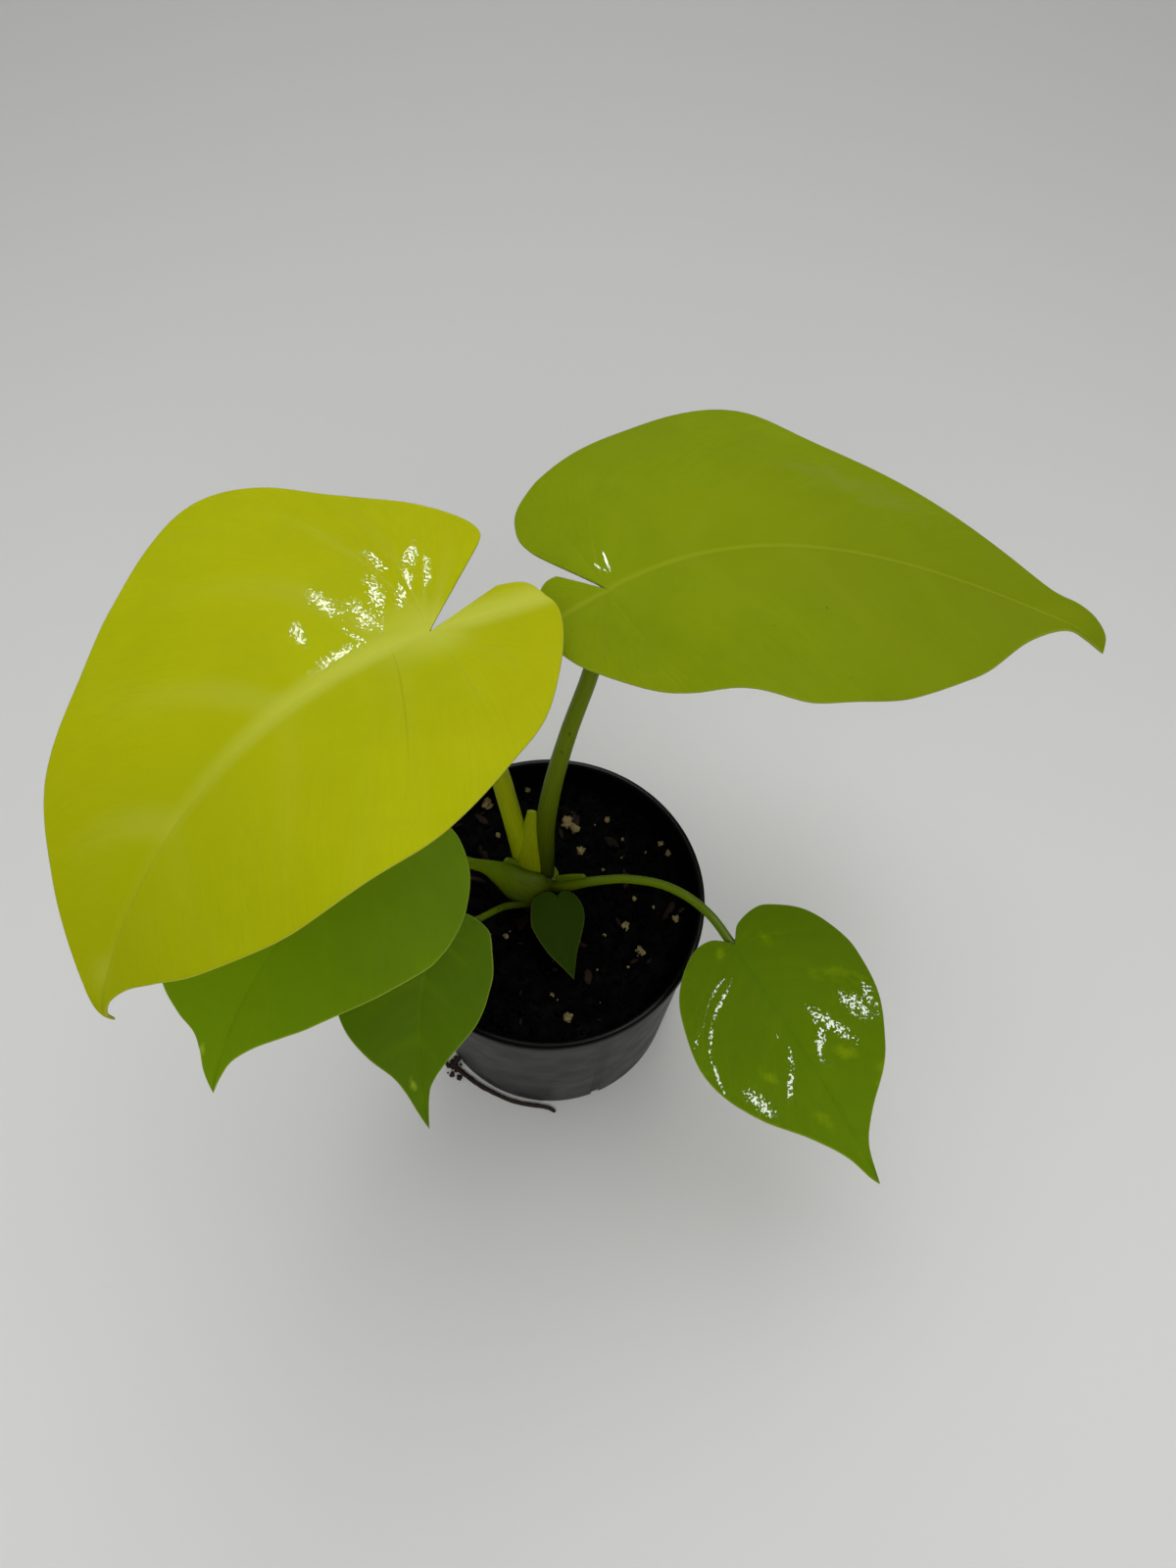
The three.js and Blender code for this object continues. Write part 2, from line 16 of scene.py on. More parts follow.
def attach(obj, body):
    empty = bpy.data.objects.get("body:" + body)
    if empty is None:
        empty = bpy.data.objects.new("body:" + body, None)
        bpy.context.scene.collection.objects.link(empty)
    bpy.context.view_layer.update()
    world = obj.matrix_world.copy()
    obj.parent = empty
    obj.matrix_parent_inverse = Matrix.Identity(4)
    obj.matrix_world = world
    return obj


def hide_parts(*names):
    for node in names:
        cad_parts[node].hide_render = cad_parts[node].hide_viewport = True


bl_info = {
    "name": "Potted Golden Monstera",
    "version": (1, 0, 0),
    "blender": (4, 5, 0),
    "location": "3D View > Sidebar > Plant",
    "description": "Builds a young golden monstera in its nursery pot",
    "category": "Add Mesh",
}

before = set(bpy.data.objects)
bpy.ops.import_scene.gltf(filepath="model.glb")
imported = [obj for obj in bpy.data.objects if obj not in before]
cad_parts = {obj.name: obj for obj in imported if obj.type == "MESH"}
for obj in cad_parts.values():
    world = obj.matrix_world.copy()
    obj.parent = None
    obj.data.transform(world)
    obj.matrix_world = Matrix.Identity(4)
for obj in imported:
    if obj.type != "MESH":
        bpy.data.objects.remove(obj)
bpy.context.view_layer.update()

MM = 0.001

# Plans of the leaves, in millimetres and degrees

# base is where the stalk meets the blade. heading turns from +X, pitch is above level, and bend
# and bend_more change it along the midrib. tip_drop curls the drip tip. fold lifts both halves
# beside the midrib, and the curls, in radians a millimetre, bring them down again. left and
# right are margins, from the lobe's inner corner to the tip, as (along, out). wax lists the
# streaks that shine like wet film and worn_marks_and_sheens the pale scuffs and the painted
# sheens, pale lifts painted where a blade catches the light, both as (along, out, end along,
# end out, half width). LEAF holds what most leaves share.

LEAF = dict(bend_more=0, tip_drop=-10, roll=0, twist=0, fold=8, curl_left=0.006, curl_right=0.006,
            bow=0.15, wax=(), worn_marks_and_sheens=())
LEAVES = {
    "big_left": dict(
        base=(-28.2, 12.4, 224), length=138, heading=211.5, sweep=36.5, pitch=10, bend=-71,
        bend_more=4, tip_drop=-41, roll=6, twist=-3.5, fold=12, curl_left=0.0052,
        curl_right=0.0033, ripple=1.2, wave=52, fan=13 / 30, rows=230, veins=7,
        wax=((3, -31, 1.5, -22, 1.8), (-8.5, -27, -4, -20, 1.7), (-4, -20, 2.5, -10.5, 1.6),
             (6, -18.5, 7.5, -11, 2), (12.5, -13.5, 11, -7, 2.3), (18.5, -21, 17, -15, 2),
             (17, -9, 15, -4, 0.7), (26.5, -3.2, 17, -3.6, 2), (26, -16, 26.5, -12, 1.6),
             (41, -4.2, 40, -4, 0.8), (-9, -20, -3.5, -7, 1.2)),
        left=((-22, -7), (-30, -5), (-33, 3), (-30, 13), (-21, 27), (-8, 41), (10, 50.5),
              (28, 53.5), (46, 52), (63, 48), (80, 40.5), (99, 27), (110, 15.5), (117, 8),
              (124, 3), (130, 1.4), (138, 0)),
        right=((-22, -19), (-26, -24), (-23, -31), (-12, -41.5), (3, -50.5), (15, -59.5),
               (28, -64), (40, -61), (53, -52.5), (67, -42.5), (87, -33.5), (102, -21.5),
               (114, -12), (124, -5), (130, -2), (138, 0)),
    ),
    "big_right": dict(
        base=(15, 36.6, 212), length=142.5, heading=29.5, sweep=-63, pitch=14, bend=-89.5,
        bend_more=82, tip_drop=-36, roll=-8, twist=4, curl_left=0.0056, curl_right=0.0056,
        ripple=1.2, wave=46, fan=13 / 30, rows=230, veins=8,
        # On this leaf the pale patch is a painted sheen, a pale lift painted where the blade
        # catches the light.
        wax=((3.8, 11, 3.1, 5.4, 0.3), (0.4, 8.9, 1.8, 5.6, 0.25)), worn_marks_and_sheens=((54, 30, 84, 20, 6),),
        left=((-8, 15), (-12, 24), (-12.5, 32), (-8, 41), (5, 48.5), (21, 55.5), (35, 59.5),
              (48, 56), (61, 43.5), (75, 34), (91, 24), (107, 15.5), (122, 8.5), (130, 7.5),
              (136, 6.5), (140.5, 4.5), (142.5, 0)),
        right=((-9.5, 12), (-13, 12), (-16.5, 9), (-19, 3.5), (-20.5, -4), (-19, -13),
               (-15, -22), (-5, -35.5), (4, -42), (18, -46.5), (35, -51.5), (48, -53),
               (65, -52), (80, -48), (93, -42.5), (104, -36), (113, -28), (122, -12.5),
               (130, -3), (136, -1.5), (142.5, 0)),
    ),
    "mid_left": dict(
        base=(-45.3, -8.5, 152), length=90, heading=222, sweep=31.5, pitch=7, bend=-45,
        bend_more=-7, roll=-1.5, twist=-1.5, ripple=0.8, wave=38, fan=10 / 24, rows=180, veins=7,
        worn_marks_and_sheens=((76, -5.6, 78.5, -5.2, 0.9),),
        left=((-16, 4.5), (-16, 13), (-11.5, 24), (-3, 33), (4, 36.8), (12, 38.5), (21, 38),
              (38.5, 32.8), (56, 22.3), (64, 15.6), (71, 8.8), (77.5, 3.8), (83, 1.8), (90, 0)),
        right=((-14, -5), (-15.5, -14.5), (-9.5, -28), (4.5, -37.5), (20, -40.5), (38, -38),
               (52, -33), (64.5, -24), (70.5, -15.7), (73.8, -9.3), (78, -6), (83, -3.7),
               (90, 0)),
    ),
    "low_left": dict(
        base=(-34.2, -23.3, 114), length=60.5, heading=257.5, sweep=29, pitch=-12, bend=-26,
        bend_more=-1.5, ripple=0.5, wave=30, fan=8 / 20, rows=150, veins=6,
        worn_marks_and_sheens=((44, -2.7, 46.5, -2.3, 1.1),),
        left=((-7.5, 3), (-9, 8), (-6.5, 15), (-2.5, 18.2), (7.5, 21), (15.5, 20.6),
              (22.5, 19.2), (29, 16.2), (39.5, 7.8), (44.5, 4), (49, 2), (60.5, 0)),
        right=((-8, -3.5), (-9, -10), (-6, -19), (2, -25.8), (12.5, -27.5), (22, -26),
               (29.5, -22.3), (36.5, -15.4), (42, -8.7), (47, -5.2), (53, -2.7), (60.5, 0)),
    ),
    "low_right": dict(
        base=(60, -19.6, 106), length=84, heading=-56, sweep=-1.5, pitch=-1, bend=-23,
        bend_more=1.5, roll=-4, twist=2.5, fold=7.5, ripple=0.6, wave=34, fan=10 / 24, rows=180,
        veins=7,
        wax=((6.5, -8.5, 11, -18.5, 0.5), (11, -18.5, 21.5, -31, 0.5), (10, -10, 17, -21.5, 0.6),
             (17, -21.5, 25, -27.5, 0.6), (25, -27.5, 36, -29.5, 0.5), (30.5, -5.3, 31, -5.3, 0.4),
             (35.5, -4.6, 41, -7.5, 0.7), (41, -7.5, 47, -12.7, 1.3), (41, -23, 47.5, -20.5, 2),
             (47.5, -20.5, 51.5, -19, 1.6), (47, -6.2, 57, -5.6, 0.8), (30, 9, 33, 8, 1),
             (30, 9, 42, 14.5, 1.8), (36, 8.5, 42, 1.5, 1.5), (42, 1.5, 46, 4, 0.8),
             (32.5, 20.5, 39, 23.5, 2.6), (33, 27.6, 38, 27, 1.8)),
        worn_marks_and_sheens=((1.5, 9, 3.5, 9, 2), (-0.5, -6, 1, -7, 1.3), (37.5, -15.8, 41, -13.5, 2),
               (44, 9, 46, 12, 1.8)),
        left=((-2.5, 2), (-5.5, 5), (-7, 12), (-5.5, 17.5), (2, 26.5), (15, 32.5), (24, 33),
              (36, 30.5), (47, 25), (54.5, 19.5), (63, 9.5), (70, 3.5), (76, 1.2), (84, 0)),
        right=((-3, -3), (-5, -6.5), (-4.5, -13), (1, -21.5), (9.5, -28), (24, -32),
               (36.5, -30.5), (48.5, -24), (60.5, -13.5), (71, -6), (80, -2.3), (84, 0)),
    ),
    "tiny": dict(
        base=(3, -1.6, 96), length=27.5, heading=-79, sweep=7, pitch=-4.5, bend=-26, tip_drop=0,
        curl_left=0.008, curl_right=0.008, ripple=0.3, wave=15, fan=6 / 14, rows=90, veins=4,
        bow=0.12,
        left=((-1.8, 1), (-2.2, 2.8), (-0.4, 5.5), (3.5, 7.5), (7.5, 7.8), (12, 6.4),
              (17.5, 3.7), (21.5, 2.1), (27.5, 0)),
        right=((-2, -1.3), (-2.4, -4), (-1, -7.5), (1.5, -9), (7, -10.1), (10, -9.6),
               (17, -6.6), (21, -4), (24, -2), (27.5, 0)),
    ),
}

# Each stalk: stations of x, y, z, half width and half thickness from the crown to the blade, and
# the direction that the half width is measured in. wing is the free edge of its sheath.
STALKS = {
    "big_left": dict(
        wide=(1, 0.2, 0),
        stations=((-8.3, 10.2, 89, 3.5, 3.2), (-9.6, 11.6, 103, 3.3, 3.2),
                  (-11.2, 13, 118, 3.2, 3.1), (-13.2, 14.4, 135, 3.1, 3),
                  (-15.2, 15, 152, 3, 3), (-20.7, 14.9, 190, 2.7, 2.7),
                  (-25.8, 13.2, 212, 2.5, 2.5), (-28, 12, 223, 2.5, 2.3)),
    ),
    "big_right": dict(
        wide=(1, 0, 0),
        stations=((-2.6, 9.2, 89, 3.9, 3.4), (-2.4, 11.2, 102, 3.8, 3.3),
                  (-1.6, 14.2, 119, 3.3, 3.1), (1.1, 18.4, 140, 2.9, 2.8),
                  (5.4, 23, 162, 2.6, 2.5), (10.9, 28.2, 184, 2.4, 2.3),
                  (13.4, 31.8, 199, 2.3, 2.2), (15, 35.4, 210.6, 2.3, 2)),
        wing=((-6.6, 6.9, 91, 4.2, 1.2), (-6.8, 8.2, 103, 3.6, 1.1), (-6.6, 10.6, 112, 3, 1),
              (-6.2, 13, 119.5, 2.4, 0.9), (-5.7, 15.2, 126, 1.5, 0.7)),
    ),
    "mid_left": dict(
        wide=(0, 0.55, 0.83),
        stations=((0.5, 3.6, 90.5, 4.2, 2), (-4.1, 2.4, 92.5, 6.3, 3.4), (-9.5, 2.4, 96, 6, 3.6),
                  (-15, 3.4, 102, 4.2, 3), (-20.1, 2, 111, 2.3, 2.1),
                  (-24.3, -1, 120, 1.75, 1.65), (-33, -5, 136, 1.65, 1.6),
                  (-42, -8.2, 149, 1.7, 1.6), (-45.4, -8.8, 150.8, 1.7, 1.5)),
        wing=((-7, 6.8, 98, 2, 1), (-11.5, 7.6, 101, 2.2, 1), (-15, 7.4, 104, 1.5, 0.9)),
    ),
    "low_right": dict(
        wide=(0, 0, 1),
        stations=((1.5, 4.2, 91, 3.1, 2), (5.6, 3.2, 95.5, 2.7, 1.9), (12.8, 2.4, 101, 1.7, 1.6),
                  (19.2, 2.4, 103.5, 1.5, 1.5), (25.5, 2, 105.5, 1.45, 1.45),
                  (35.6, -0.1, 107.5, 1.45, 1.45), (44.4, -4.2, 108, 1.5, 1.5),
                  (52.2, -10.4, 107.4, 1.5, 1.5), (58, -17.2, 105, 1.6, 1.5),
                  (61, -21.4, 104, 1.5, 1.3)),
        wing=((2.8, 4.6, 97, 2.2, 0.9), (7, 4, 100.4, 2.1, 0.8), (11.8, 3.2, 104, 1.2, 0.6)),
    ),
    "low_left": dict(
        wide=(0, 0, 1),
        stations=((-4.5, 1.5, 86.8, 1.5, 1.4), (-6.5, -1, 89, 1.4, 1.3),
                  (-14.1, -6.2, 98, 1.15, 1.1), (-21.5, -14.9, 108, 1.1, 1.1),
                  (-28.5, -20.8, 112.4, 1.1, 1.1), (-34.4, -24, 112.9, 1.2, 1)),
    ),
    "tiny": dict(
        wide=(1, 0, 0),
        stations=((-0.5, 3.4, 87.6, 1.6, 1.3), (1.4, 0.6, 91, 1.3, 1.1),
                  (2.8, -1.9, 94.8, 1.1, 0.9)),
    ),
}
STEM = dict(wide=(1, 0, 0), stations=((-4.2, 8.2, 60, 4.8, 4.2), (-4.3, 8.6, 76, 6.4, 5),
                                      (-4.6, 9.2, 88, 7.3, 5.4), (-4.6, 9.4, 91.5, 7, 4.8)))

ROOT_CROWN = ((-4.2, 8.2, 59.6, 4.2, 4), (-4.2, 8.2, 54, 3.4, 3.4), (-4.2, 8.2, 48, 1.6, 1.6))
ROOTS = (
    ((-4.2, 8.2, 54, 1.8, 1.8), (12, 12, 46, 1.4, 1.4), (24, 17, 30, 1.1, 1.1),
     (32, 18, 12, 0.8, 0.8)),
    ((-4.2, 8.2, 56, 1.8, 1.8), (-8, 20, 50, 1.4, 1.4), (-10, 32, 34, 1.1, 1.1),
     (-4, 38, 14, 0.8, 0.8)),
    ((-4.2, 8.2, 53, 1.8, 1.8), (10, -6, 44, 1.4, 1.4), (19, -18, 28, 1.1, 1.1),
     (20, -30, 12, 0.8, 0.8)),
    ((-4.2, 8.2, 51, 1.8, 1.8), (-12, -4, 40, 1.5, 1.5), (-22, -16, 22, 1.3, 1.3),
     (-28, -25, 6, 1.1, 1.1), (-33.5, -30.2, 2.4, 1, 1), (-35.8, -33.4, 1.5, 0.95, 0.95),
     (-32.5, -36.6, 1.2, 0.9, 0.9), (-24, -42, 1.2, 0.85, 0.85), (-12, -46.8, 1.1, 0.75, 0.75),
     (0, -48.5, 1.1, 0.75, 0.75), (4, -50, 1.1, 0.6, 0.6)),
)

# White perlite that shows on the soil: x, y and size. Smaller bits are scattered between them.
PERLITE = ((-24, 38, 2.6), (5, 32, 2.8), (7.5, 29.5, 2.4), (10, 21.5, 2.2), (19, 34, 1.3),
           (38, 26, 1.2), (40.5, 22, 1.5), (29, 4, 1.2), (26, -6, 1.7), (31, -15, 2.2),
           (-14, -11, 1.5), (8, -38.5, 2), (-10, 45, 1.2), (-19, 25.5, 1.3), (43, -3, 1.5))


# Settings

def colour_setting(name, description, default):
    return FloatVectorProperty(name=name, description=description, default=default, size=3,
                               min=0, max=1, subtype="COLOR")


def length_setting(name, description, default):
    return FloatProperty(name=name, description=description, default=default, min=0,
                         unit="LENGTH", precision=4)


class PotSettings(bpy.types.PropertyGroup):
    """Sizes and colour of the nursery pot"""

    height: length_setting("Height", "Height of the pot", 0.095)
    rim_radius: length_setting("Rim radius", "Outer radius of the lip", 0.052)
    foot_radius: length_setting("Foot radius", "Outer radius of the foot", 0.046)
    wall: length_setting("Wall", "Thickness of the wall", 0.0016)
    colour: colour_setting("Colour", "Colour of the plastic", (0.0098, 0.01, 0.0102))


class SoilSettings(bpy.types.PropertyGroup):
    """Level, bits and colours of the potting mix"""

    top: length_setting("Top", "Height of the soil above the foot", 0.084)
    crumbs: IntProperty(name="Crumbs", description="How many dark crumbs lie on top",
                        default=900, min=0)
    seed: IntProperty(name="Seed", description="Start of the random draws", default=7, min=1)
    # Almost black: partly the peat's own colour and partly painted shade of the pot's hollow.
    dark: colour_setting("Peat", "Colour of the moist peat", (0.0005, 0.0004, 0.00034))
    bark: colour_setting("Bark", "Colour of the bark chips", (0.03, 0.013, 0.007))
    perlite: colour_setting("Perlite", "Colour of the perlite", (0.27, 0.215, 0.095))
    root: colour_setting("Root", "Colour of the dry root", (0.036, 0.021, 0.014))


class PlantSettings(bpy.types.PropertyGroup):
    """Thickness, relief and colours of the leaves and stalks"""

    blade: length_setting("Blade", "Thickness of a blade", 0.0008)
    keel: length_setting("Keel", "Depth of the midrib under a blade", 0.0011)
    groove: length_setting("Groove", "Depth of the groove over the midrib", 0.00025)
    relief: length_setting("Relief", "Depth of the side veins", 0.00008)
    gold: colour_setting("Gold", "Colour of the newest leaf", (0.432, 0.475, 0.0006))
    lime: colour_setting("Lime", "Colour of the second leaf", (0.19, 0.268, 0.0006))
    green: colour_setting("Green", "Colour of the lower leaves", (0.16, 0.288, 0.0006))
    deep: colour_setting("Deep green", "Colour of the smallest leaf", (0.022, 0.048, 0.0006))


class StageSettings(bpy.types.PropertyGroup):
    """Floor, light and camera"""

    floor: colour_setting("Floor", "Colour of the floor", (0.86, 0.858, 0.848))
    room: FloatProperty(name="Room light", description="Strength of the light from all round",
                        default=0.336, min=0)
    window: FloatProperty(name="Soft light", description="Power of the large soft light",
                          default=5.0, min=0, unit="POWER")
    lamp: FloatProperty(name="Lamps", description="Brightness of the lamps that show as glints",
                        default=80.0, min=0)
    lens: FloatProperty(name="Lens", description="Focal length of the camera in millimetres",
                        default=27.045, min=1)


def settings(name):
    return getattr(bpy.context.scene, name)


# Smooth lines

def smooth_step(value, low, high):
    share = min(max((value - low) / (high - low), 0), 1)
    return share * share * (3 - 2 * share)


def through(points, place, run_out=False):
    """A smooth line through points, at a place from 0 to 1. run_out lengthens it straight."""
    spans = len(points) - 1
    at = min(max(place, 0), 1) * spans
    k = min(int(at), spans - 1)
    f = at - k
    first, second = points[k], points[k + 1]
    before = points[k - 1] if k > 0 else (2 * first - second if run_out else first)
    after = points[k + 2] if k + 2 <= spans else (2 * second - first if run_out else second)
    slope_a, slope_b = (second - before) / 2, (after - first) / 2
    return (first + slope_a * f + (3 * (second - first) - 2 * slope_a - slope_b) * f ** 2
            + (2 * (first - second) + slope_a + slope_b) * f ** 3)


def spaced(points, count):
    """Points at even distances along a smooth line through points."""
    fine = [through(points, k / 600) for k in range(601)]
    reach = [0.0]
    for a, b in zip(fine, fine[1:]):
        reach.append(reach[-1] + (b - a).length)
    result = []
    k = 0
    for i in range(count + 1):
        wanted = reach[-1] * i / count
        while k < 599 and reach[k + 1] < wanted:
            k += 1
        share = (wanted - reach[k]) / max(reach[k + 1] - reach[k], 1e-9)
        result.append(fine[k].lerp(fine[k + 1], min(share, 1)))
    return result


# Meshes

def mapped_grid(bm, across, up, place, layers=()):
    """A grid whose corners are moved by place(i, k), which gives a point and values for layers.
    The grid's own corners make the UV map."""
    made = bmesh.ops.create_grid(bm, x_segments=across, y_segments=up, size=1)["verts"]
    uv = bm.loops.layers.uv.verify()
    for face in {face for vert in made for face in vert.link_faces}:
        for loop in face.loops:
            loop[uv].uv = ((loop.vert.co.x + 1) / 2, (loop.vert.co.y + 1) / 2)
    for vert in made:
        i = round((vert.co.x + 1) / 2 * across)
        k = round((vert.co.y + 1) / 2 * up)
        point, *values = place(i, k)
        vert.co = point
        for layer, value in zip(layers, values):
            vert[layer] = value
    return made


def spun(profile, steps):
    """A round body from its outline, as (radius, height)."""
    bm = bmesh.new()
    verts = [bm.verts.new((r, 0, z)) for r, z in profile]
    edges = [bm.edges.new(pair) for pair in zip(verts, verts[1:])]
    bmesh.ops.spin(bm, geom=verts + edges, cent=(0, 0, 0), axis=(0, 0, 1),
                   angle=2 * math.pi, steps=steps, use_merge=True)
    bmesh.ops.remove_doubles(bm, verts=bm.verts, dist=1e-4)
    return bm


def new_object(bm, name, materials=()):
    mesh = bpy.data.meshes.new(name)
    bm.to_mesh(mesh)
    bm.free()
    for material in materials:
        mesh.materials.append(material)
    made = bpy.data.objects.new(name, mesh)
    bpy.context.scene.collection.objects.link(made)
    return made


def finish_piece(bm, name, materials, slot, nodes=(), sharp=None):
    """Makes the mesh an object in metres that rides on the part and stands for its solids. Edges
    that turn by more than sharp, in degrees, stay sharp."""
    bmesh.ops.recalc_face_normals(bm, faces=bm.faces)
    bmesh.ops.scale(bm, vec=(MM, MM, MM), verts=bm.verts)
    piece = new_object(bm, name, materials)
    piece.data.shade_smooth()
    if sharp is not None:
        piece.data.set_sharp_from_angle(angle=math.radians(sharp))
    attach(piece, "root")
    if nodes:
        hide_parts(*nodes)
    return piece


def add_tube(bm, stations, wide, steps, sides, shape=None, blunt=0.8):
    """An oval section carried along a smooth line through its stations, with rounded ends.
    shape(t, turn) scales the section at a place and a turn round it."""
    centres = [Vector(s[:3]) for s in stations]
    sizes = [Vector(s[3:]) for s in stations]
    wide = Vector(wide)
    length = sum((b - a).length for a, b in zip(centres, centres[1:]))
    ends = [0, 0.06, 0.2, 0.42, 0.7]
    first = blunt * min(sizes[0]) / length
    last = blunt * min(sizes[-1]) / length
    places = [first * e for e in ends]
    places += [first + (1 - first - last) * k / steps for k in range(steps + 1)]
    places += [1 - last * e for e in reversed(ends)]
    rings = []
    for t in places:
        along = (through(centres, min(t + 1e-3, 1), True)
                 - through(centres, max(t - 1e-3, 0), True)).normalized()
        level = (wide - along * wide.dot(along)).normalized()
        end = min(t / first, (1 - t) / last, 1)
        close = math.sqrt(max(1 - (1 - end) ** 2, 0))
        rings.append((through(centres, t, True), level, along.cross(level),
                      through(sizes, t) * close, t))

    def place(i, k):
        centre, level, over, size, t = rings[i]
        turn = 2 * math.pi * k / sides
        scale = shape(t, turn) if shape else 1
        return (centre + level * size.x * math.cos(turn) * scale
                + over * size.y * math.sin(turn) * scale,)

    made = mapped_grid(bm, len(places) - 1, sides, place)
    bmesh.ops.remove_doubles(bm, verts=made, dist=1e-4)


# Materials

def shade(colour, factor):
    return tuple(min(c * factor, 1) for c in colour)


def toward(colour, other, share):
    return tuple(a + (b - a) * share for a, b in zip(colour, other))


class Graph:
    """The node tree of a material or of the world, put together node by node."""

    def __init__(self, owner, shader):
        owner.use_nodes = True
        self.tree = owner.node_tree
        self.shader = self.tree.nodes[shader]

    def feed(self, socket, value):
        if isinstance(value, bpy.types.NodeSocket):
            self.tree.links.new(value, socket)
        elif socket.type == "RGBA":
            socket.default_value = (*value, 1)
        else:
            socket.default_value = value

    def node(self, kind, inputs, output=0, **choices):
        """Adds a node, feeds its inputs by name or in order, and gives one of its outputs."""
        made = self.tree.nodes.new(kind)
        for key, value in choices.items():
            setattr(made, key, value)
        for key, value in inputs.items() if isinstance(inputs, dict) else enumerate(inputs):
            self.feed(made.inputs[key], value)
        return made.outputs[output]

    def give(self, sockets):
        """Feeds the shader's own sockets."""
        for name, value in sockets.items():
            self.feed(self.shader.inputs[name], value)


class Finish(Graph):
    """A procedural material."""

    # A streak keeps to the upper face, as the underside is 1 away.
    STREAK_DEPTH = 0.4

    def __init__(self, name):
        self.material = bpy.data.materials.new(name)
        super().__init__(self.material, "Principled BSDF")
        self.relief = None

    def value(self, name):
        """A value that the mesh holds at each corner."""
        return self.node("ShaderNodeAttribute", (), "Fac", attribute_name=name)

    def place(self, scale=(1, 1, 1), source="Object"):
        """Coordinates, stretched: the object's own, its UV map or a vector of values."""
        if isinstance(source, str):
            source = self.node("ShaderNodeTexCoord", (), source)
        return self.node("ShaderNodeMapping", {"Vector": source, "Scale": scale})

    def axes(self):
        return self.node("ShaderNodeSeparateXYZ", [self.place()]).node.outputs

    def vector(self, x, y, z):
        return self.node("ShaderNodeCombineXYZ", (x, y, z))

    def cloud(self, scale, detail=3, roughness=0.5, stretch=(1, 1, 1), source="Object"):
        return self.node("ShaderNodeTexNoise", {"Vector": self.place(stretch, source),
                                                "Scale": scale, "Detail": detail,
                                                "Roughness": roughness}, "Fac")

    def cells(self, scale, stretch=(1, 1, 1)):
        return self.node("ShaderNodeTexVoronoi", {"Vector": self.place(stretch),
                                                  "Scale": scale}, "Distance")

    def calc(self, operation, *values):
        return self.node("ShaderNodeMath", values, operation=operation)

    def times(self, first, *others):
        for other in others:
            first = self.calc("MULTIPLY", first, other)
        return first

    def span(self, value, low, high, start=0.0, end=1.0):
        """Turns low to high into start to end, smoothly and without going past them."""
        return self.node("ShaderNodeMapRange", (value, low, high, start, end),
                         interpolation_type="SMOOTHSTEP")

    def blend(self, share, a, b):
        return self.node("ShaderNodeMix", {0: share, 6: a, 7: b}, 2, data_type="RGBA")

    def tones(self, share, colour, dark, light):
        return self.blend(share, shade(colour, dark), shade(colour, light))

    def apart(self, spot, x, y, end_x, end_y, width):
        """How far a spot is from a streak between two points: 0 in its middle, 1 at its edge."""
        half = math.hypot(end_x - x, end_y - y) / 2
        local = self.node("ShaderNodeMapping", {
            "Vector": spot, "Location": ((x + end_x) / 2, (y + end_y) / 2, 0),
            "Rotation": (0, 0, math.atan2(end_y - y, end_x - x)),
            "Scale": (half + width, width, self.STREAK_DEPTH)}, vector_type="TEXTURE")
        return self.node("ShaderNodeVectorMath", [local], "Value", operation="LENGTH")

    def bump(self, height, depth, strength=1.0):
        """Adds relief: height from 0 to 1, depth in metres."""
        inputs = {"Strength": strength, "Distance": depth, "Height": height}
        if self.relief:
            inputs["Normal"] = self.relief
        self.relief = self.node("ShaderNodeBump", inputs)

    def soften(self, weight, depth):
        """Lets a little light into the tissue, to a depth in metres."""
        self.give({"Subsurface Weight": weight, "Subsurface Scale": depth,
                   "Subsurface Radius": (0.8, 1, 0.2)})

    def done(self, colour, roughness, specular=0.5):
        self.give({"Base Color": colour, "Roughness": roughness, "Specular IOR Level": specular,
                   "Normal": self.relief})
        return self.material


BLADE_LAYERS = ("vein", "out", "rib", "reach", "rim", "under", "half", "ahead")


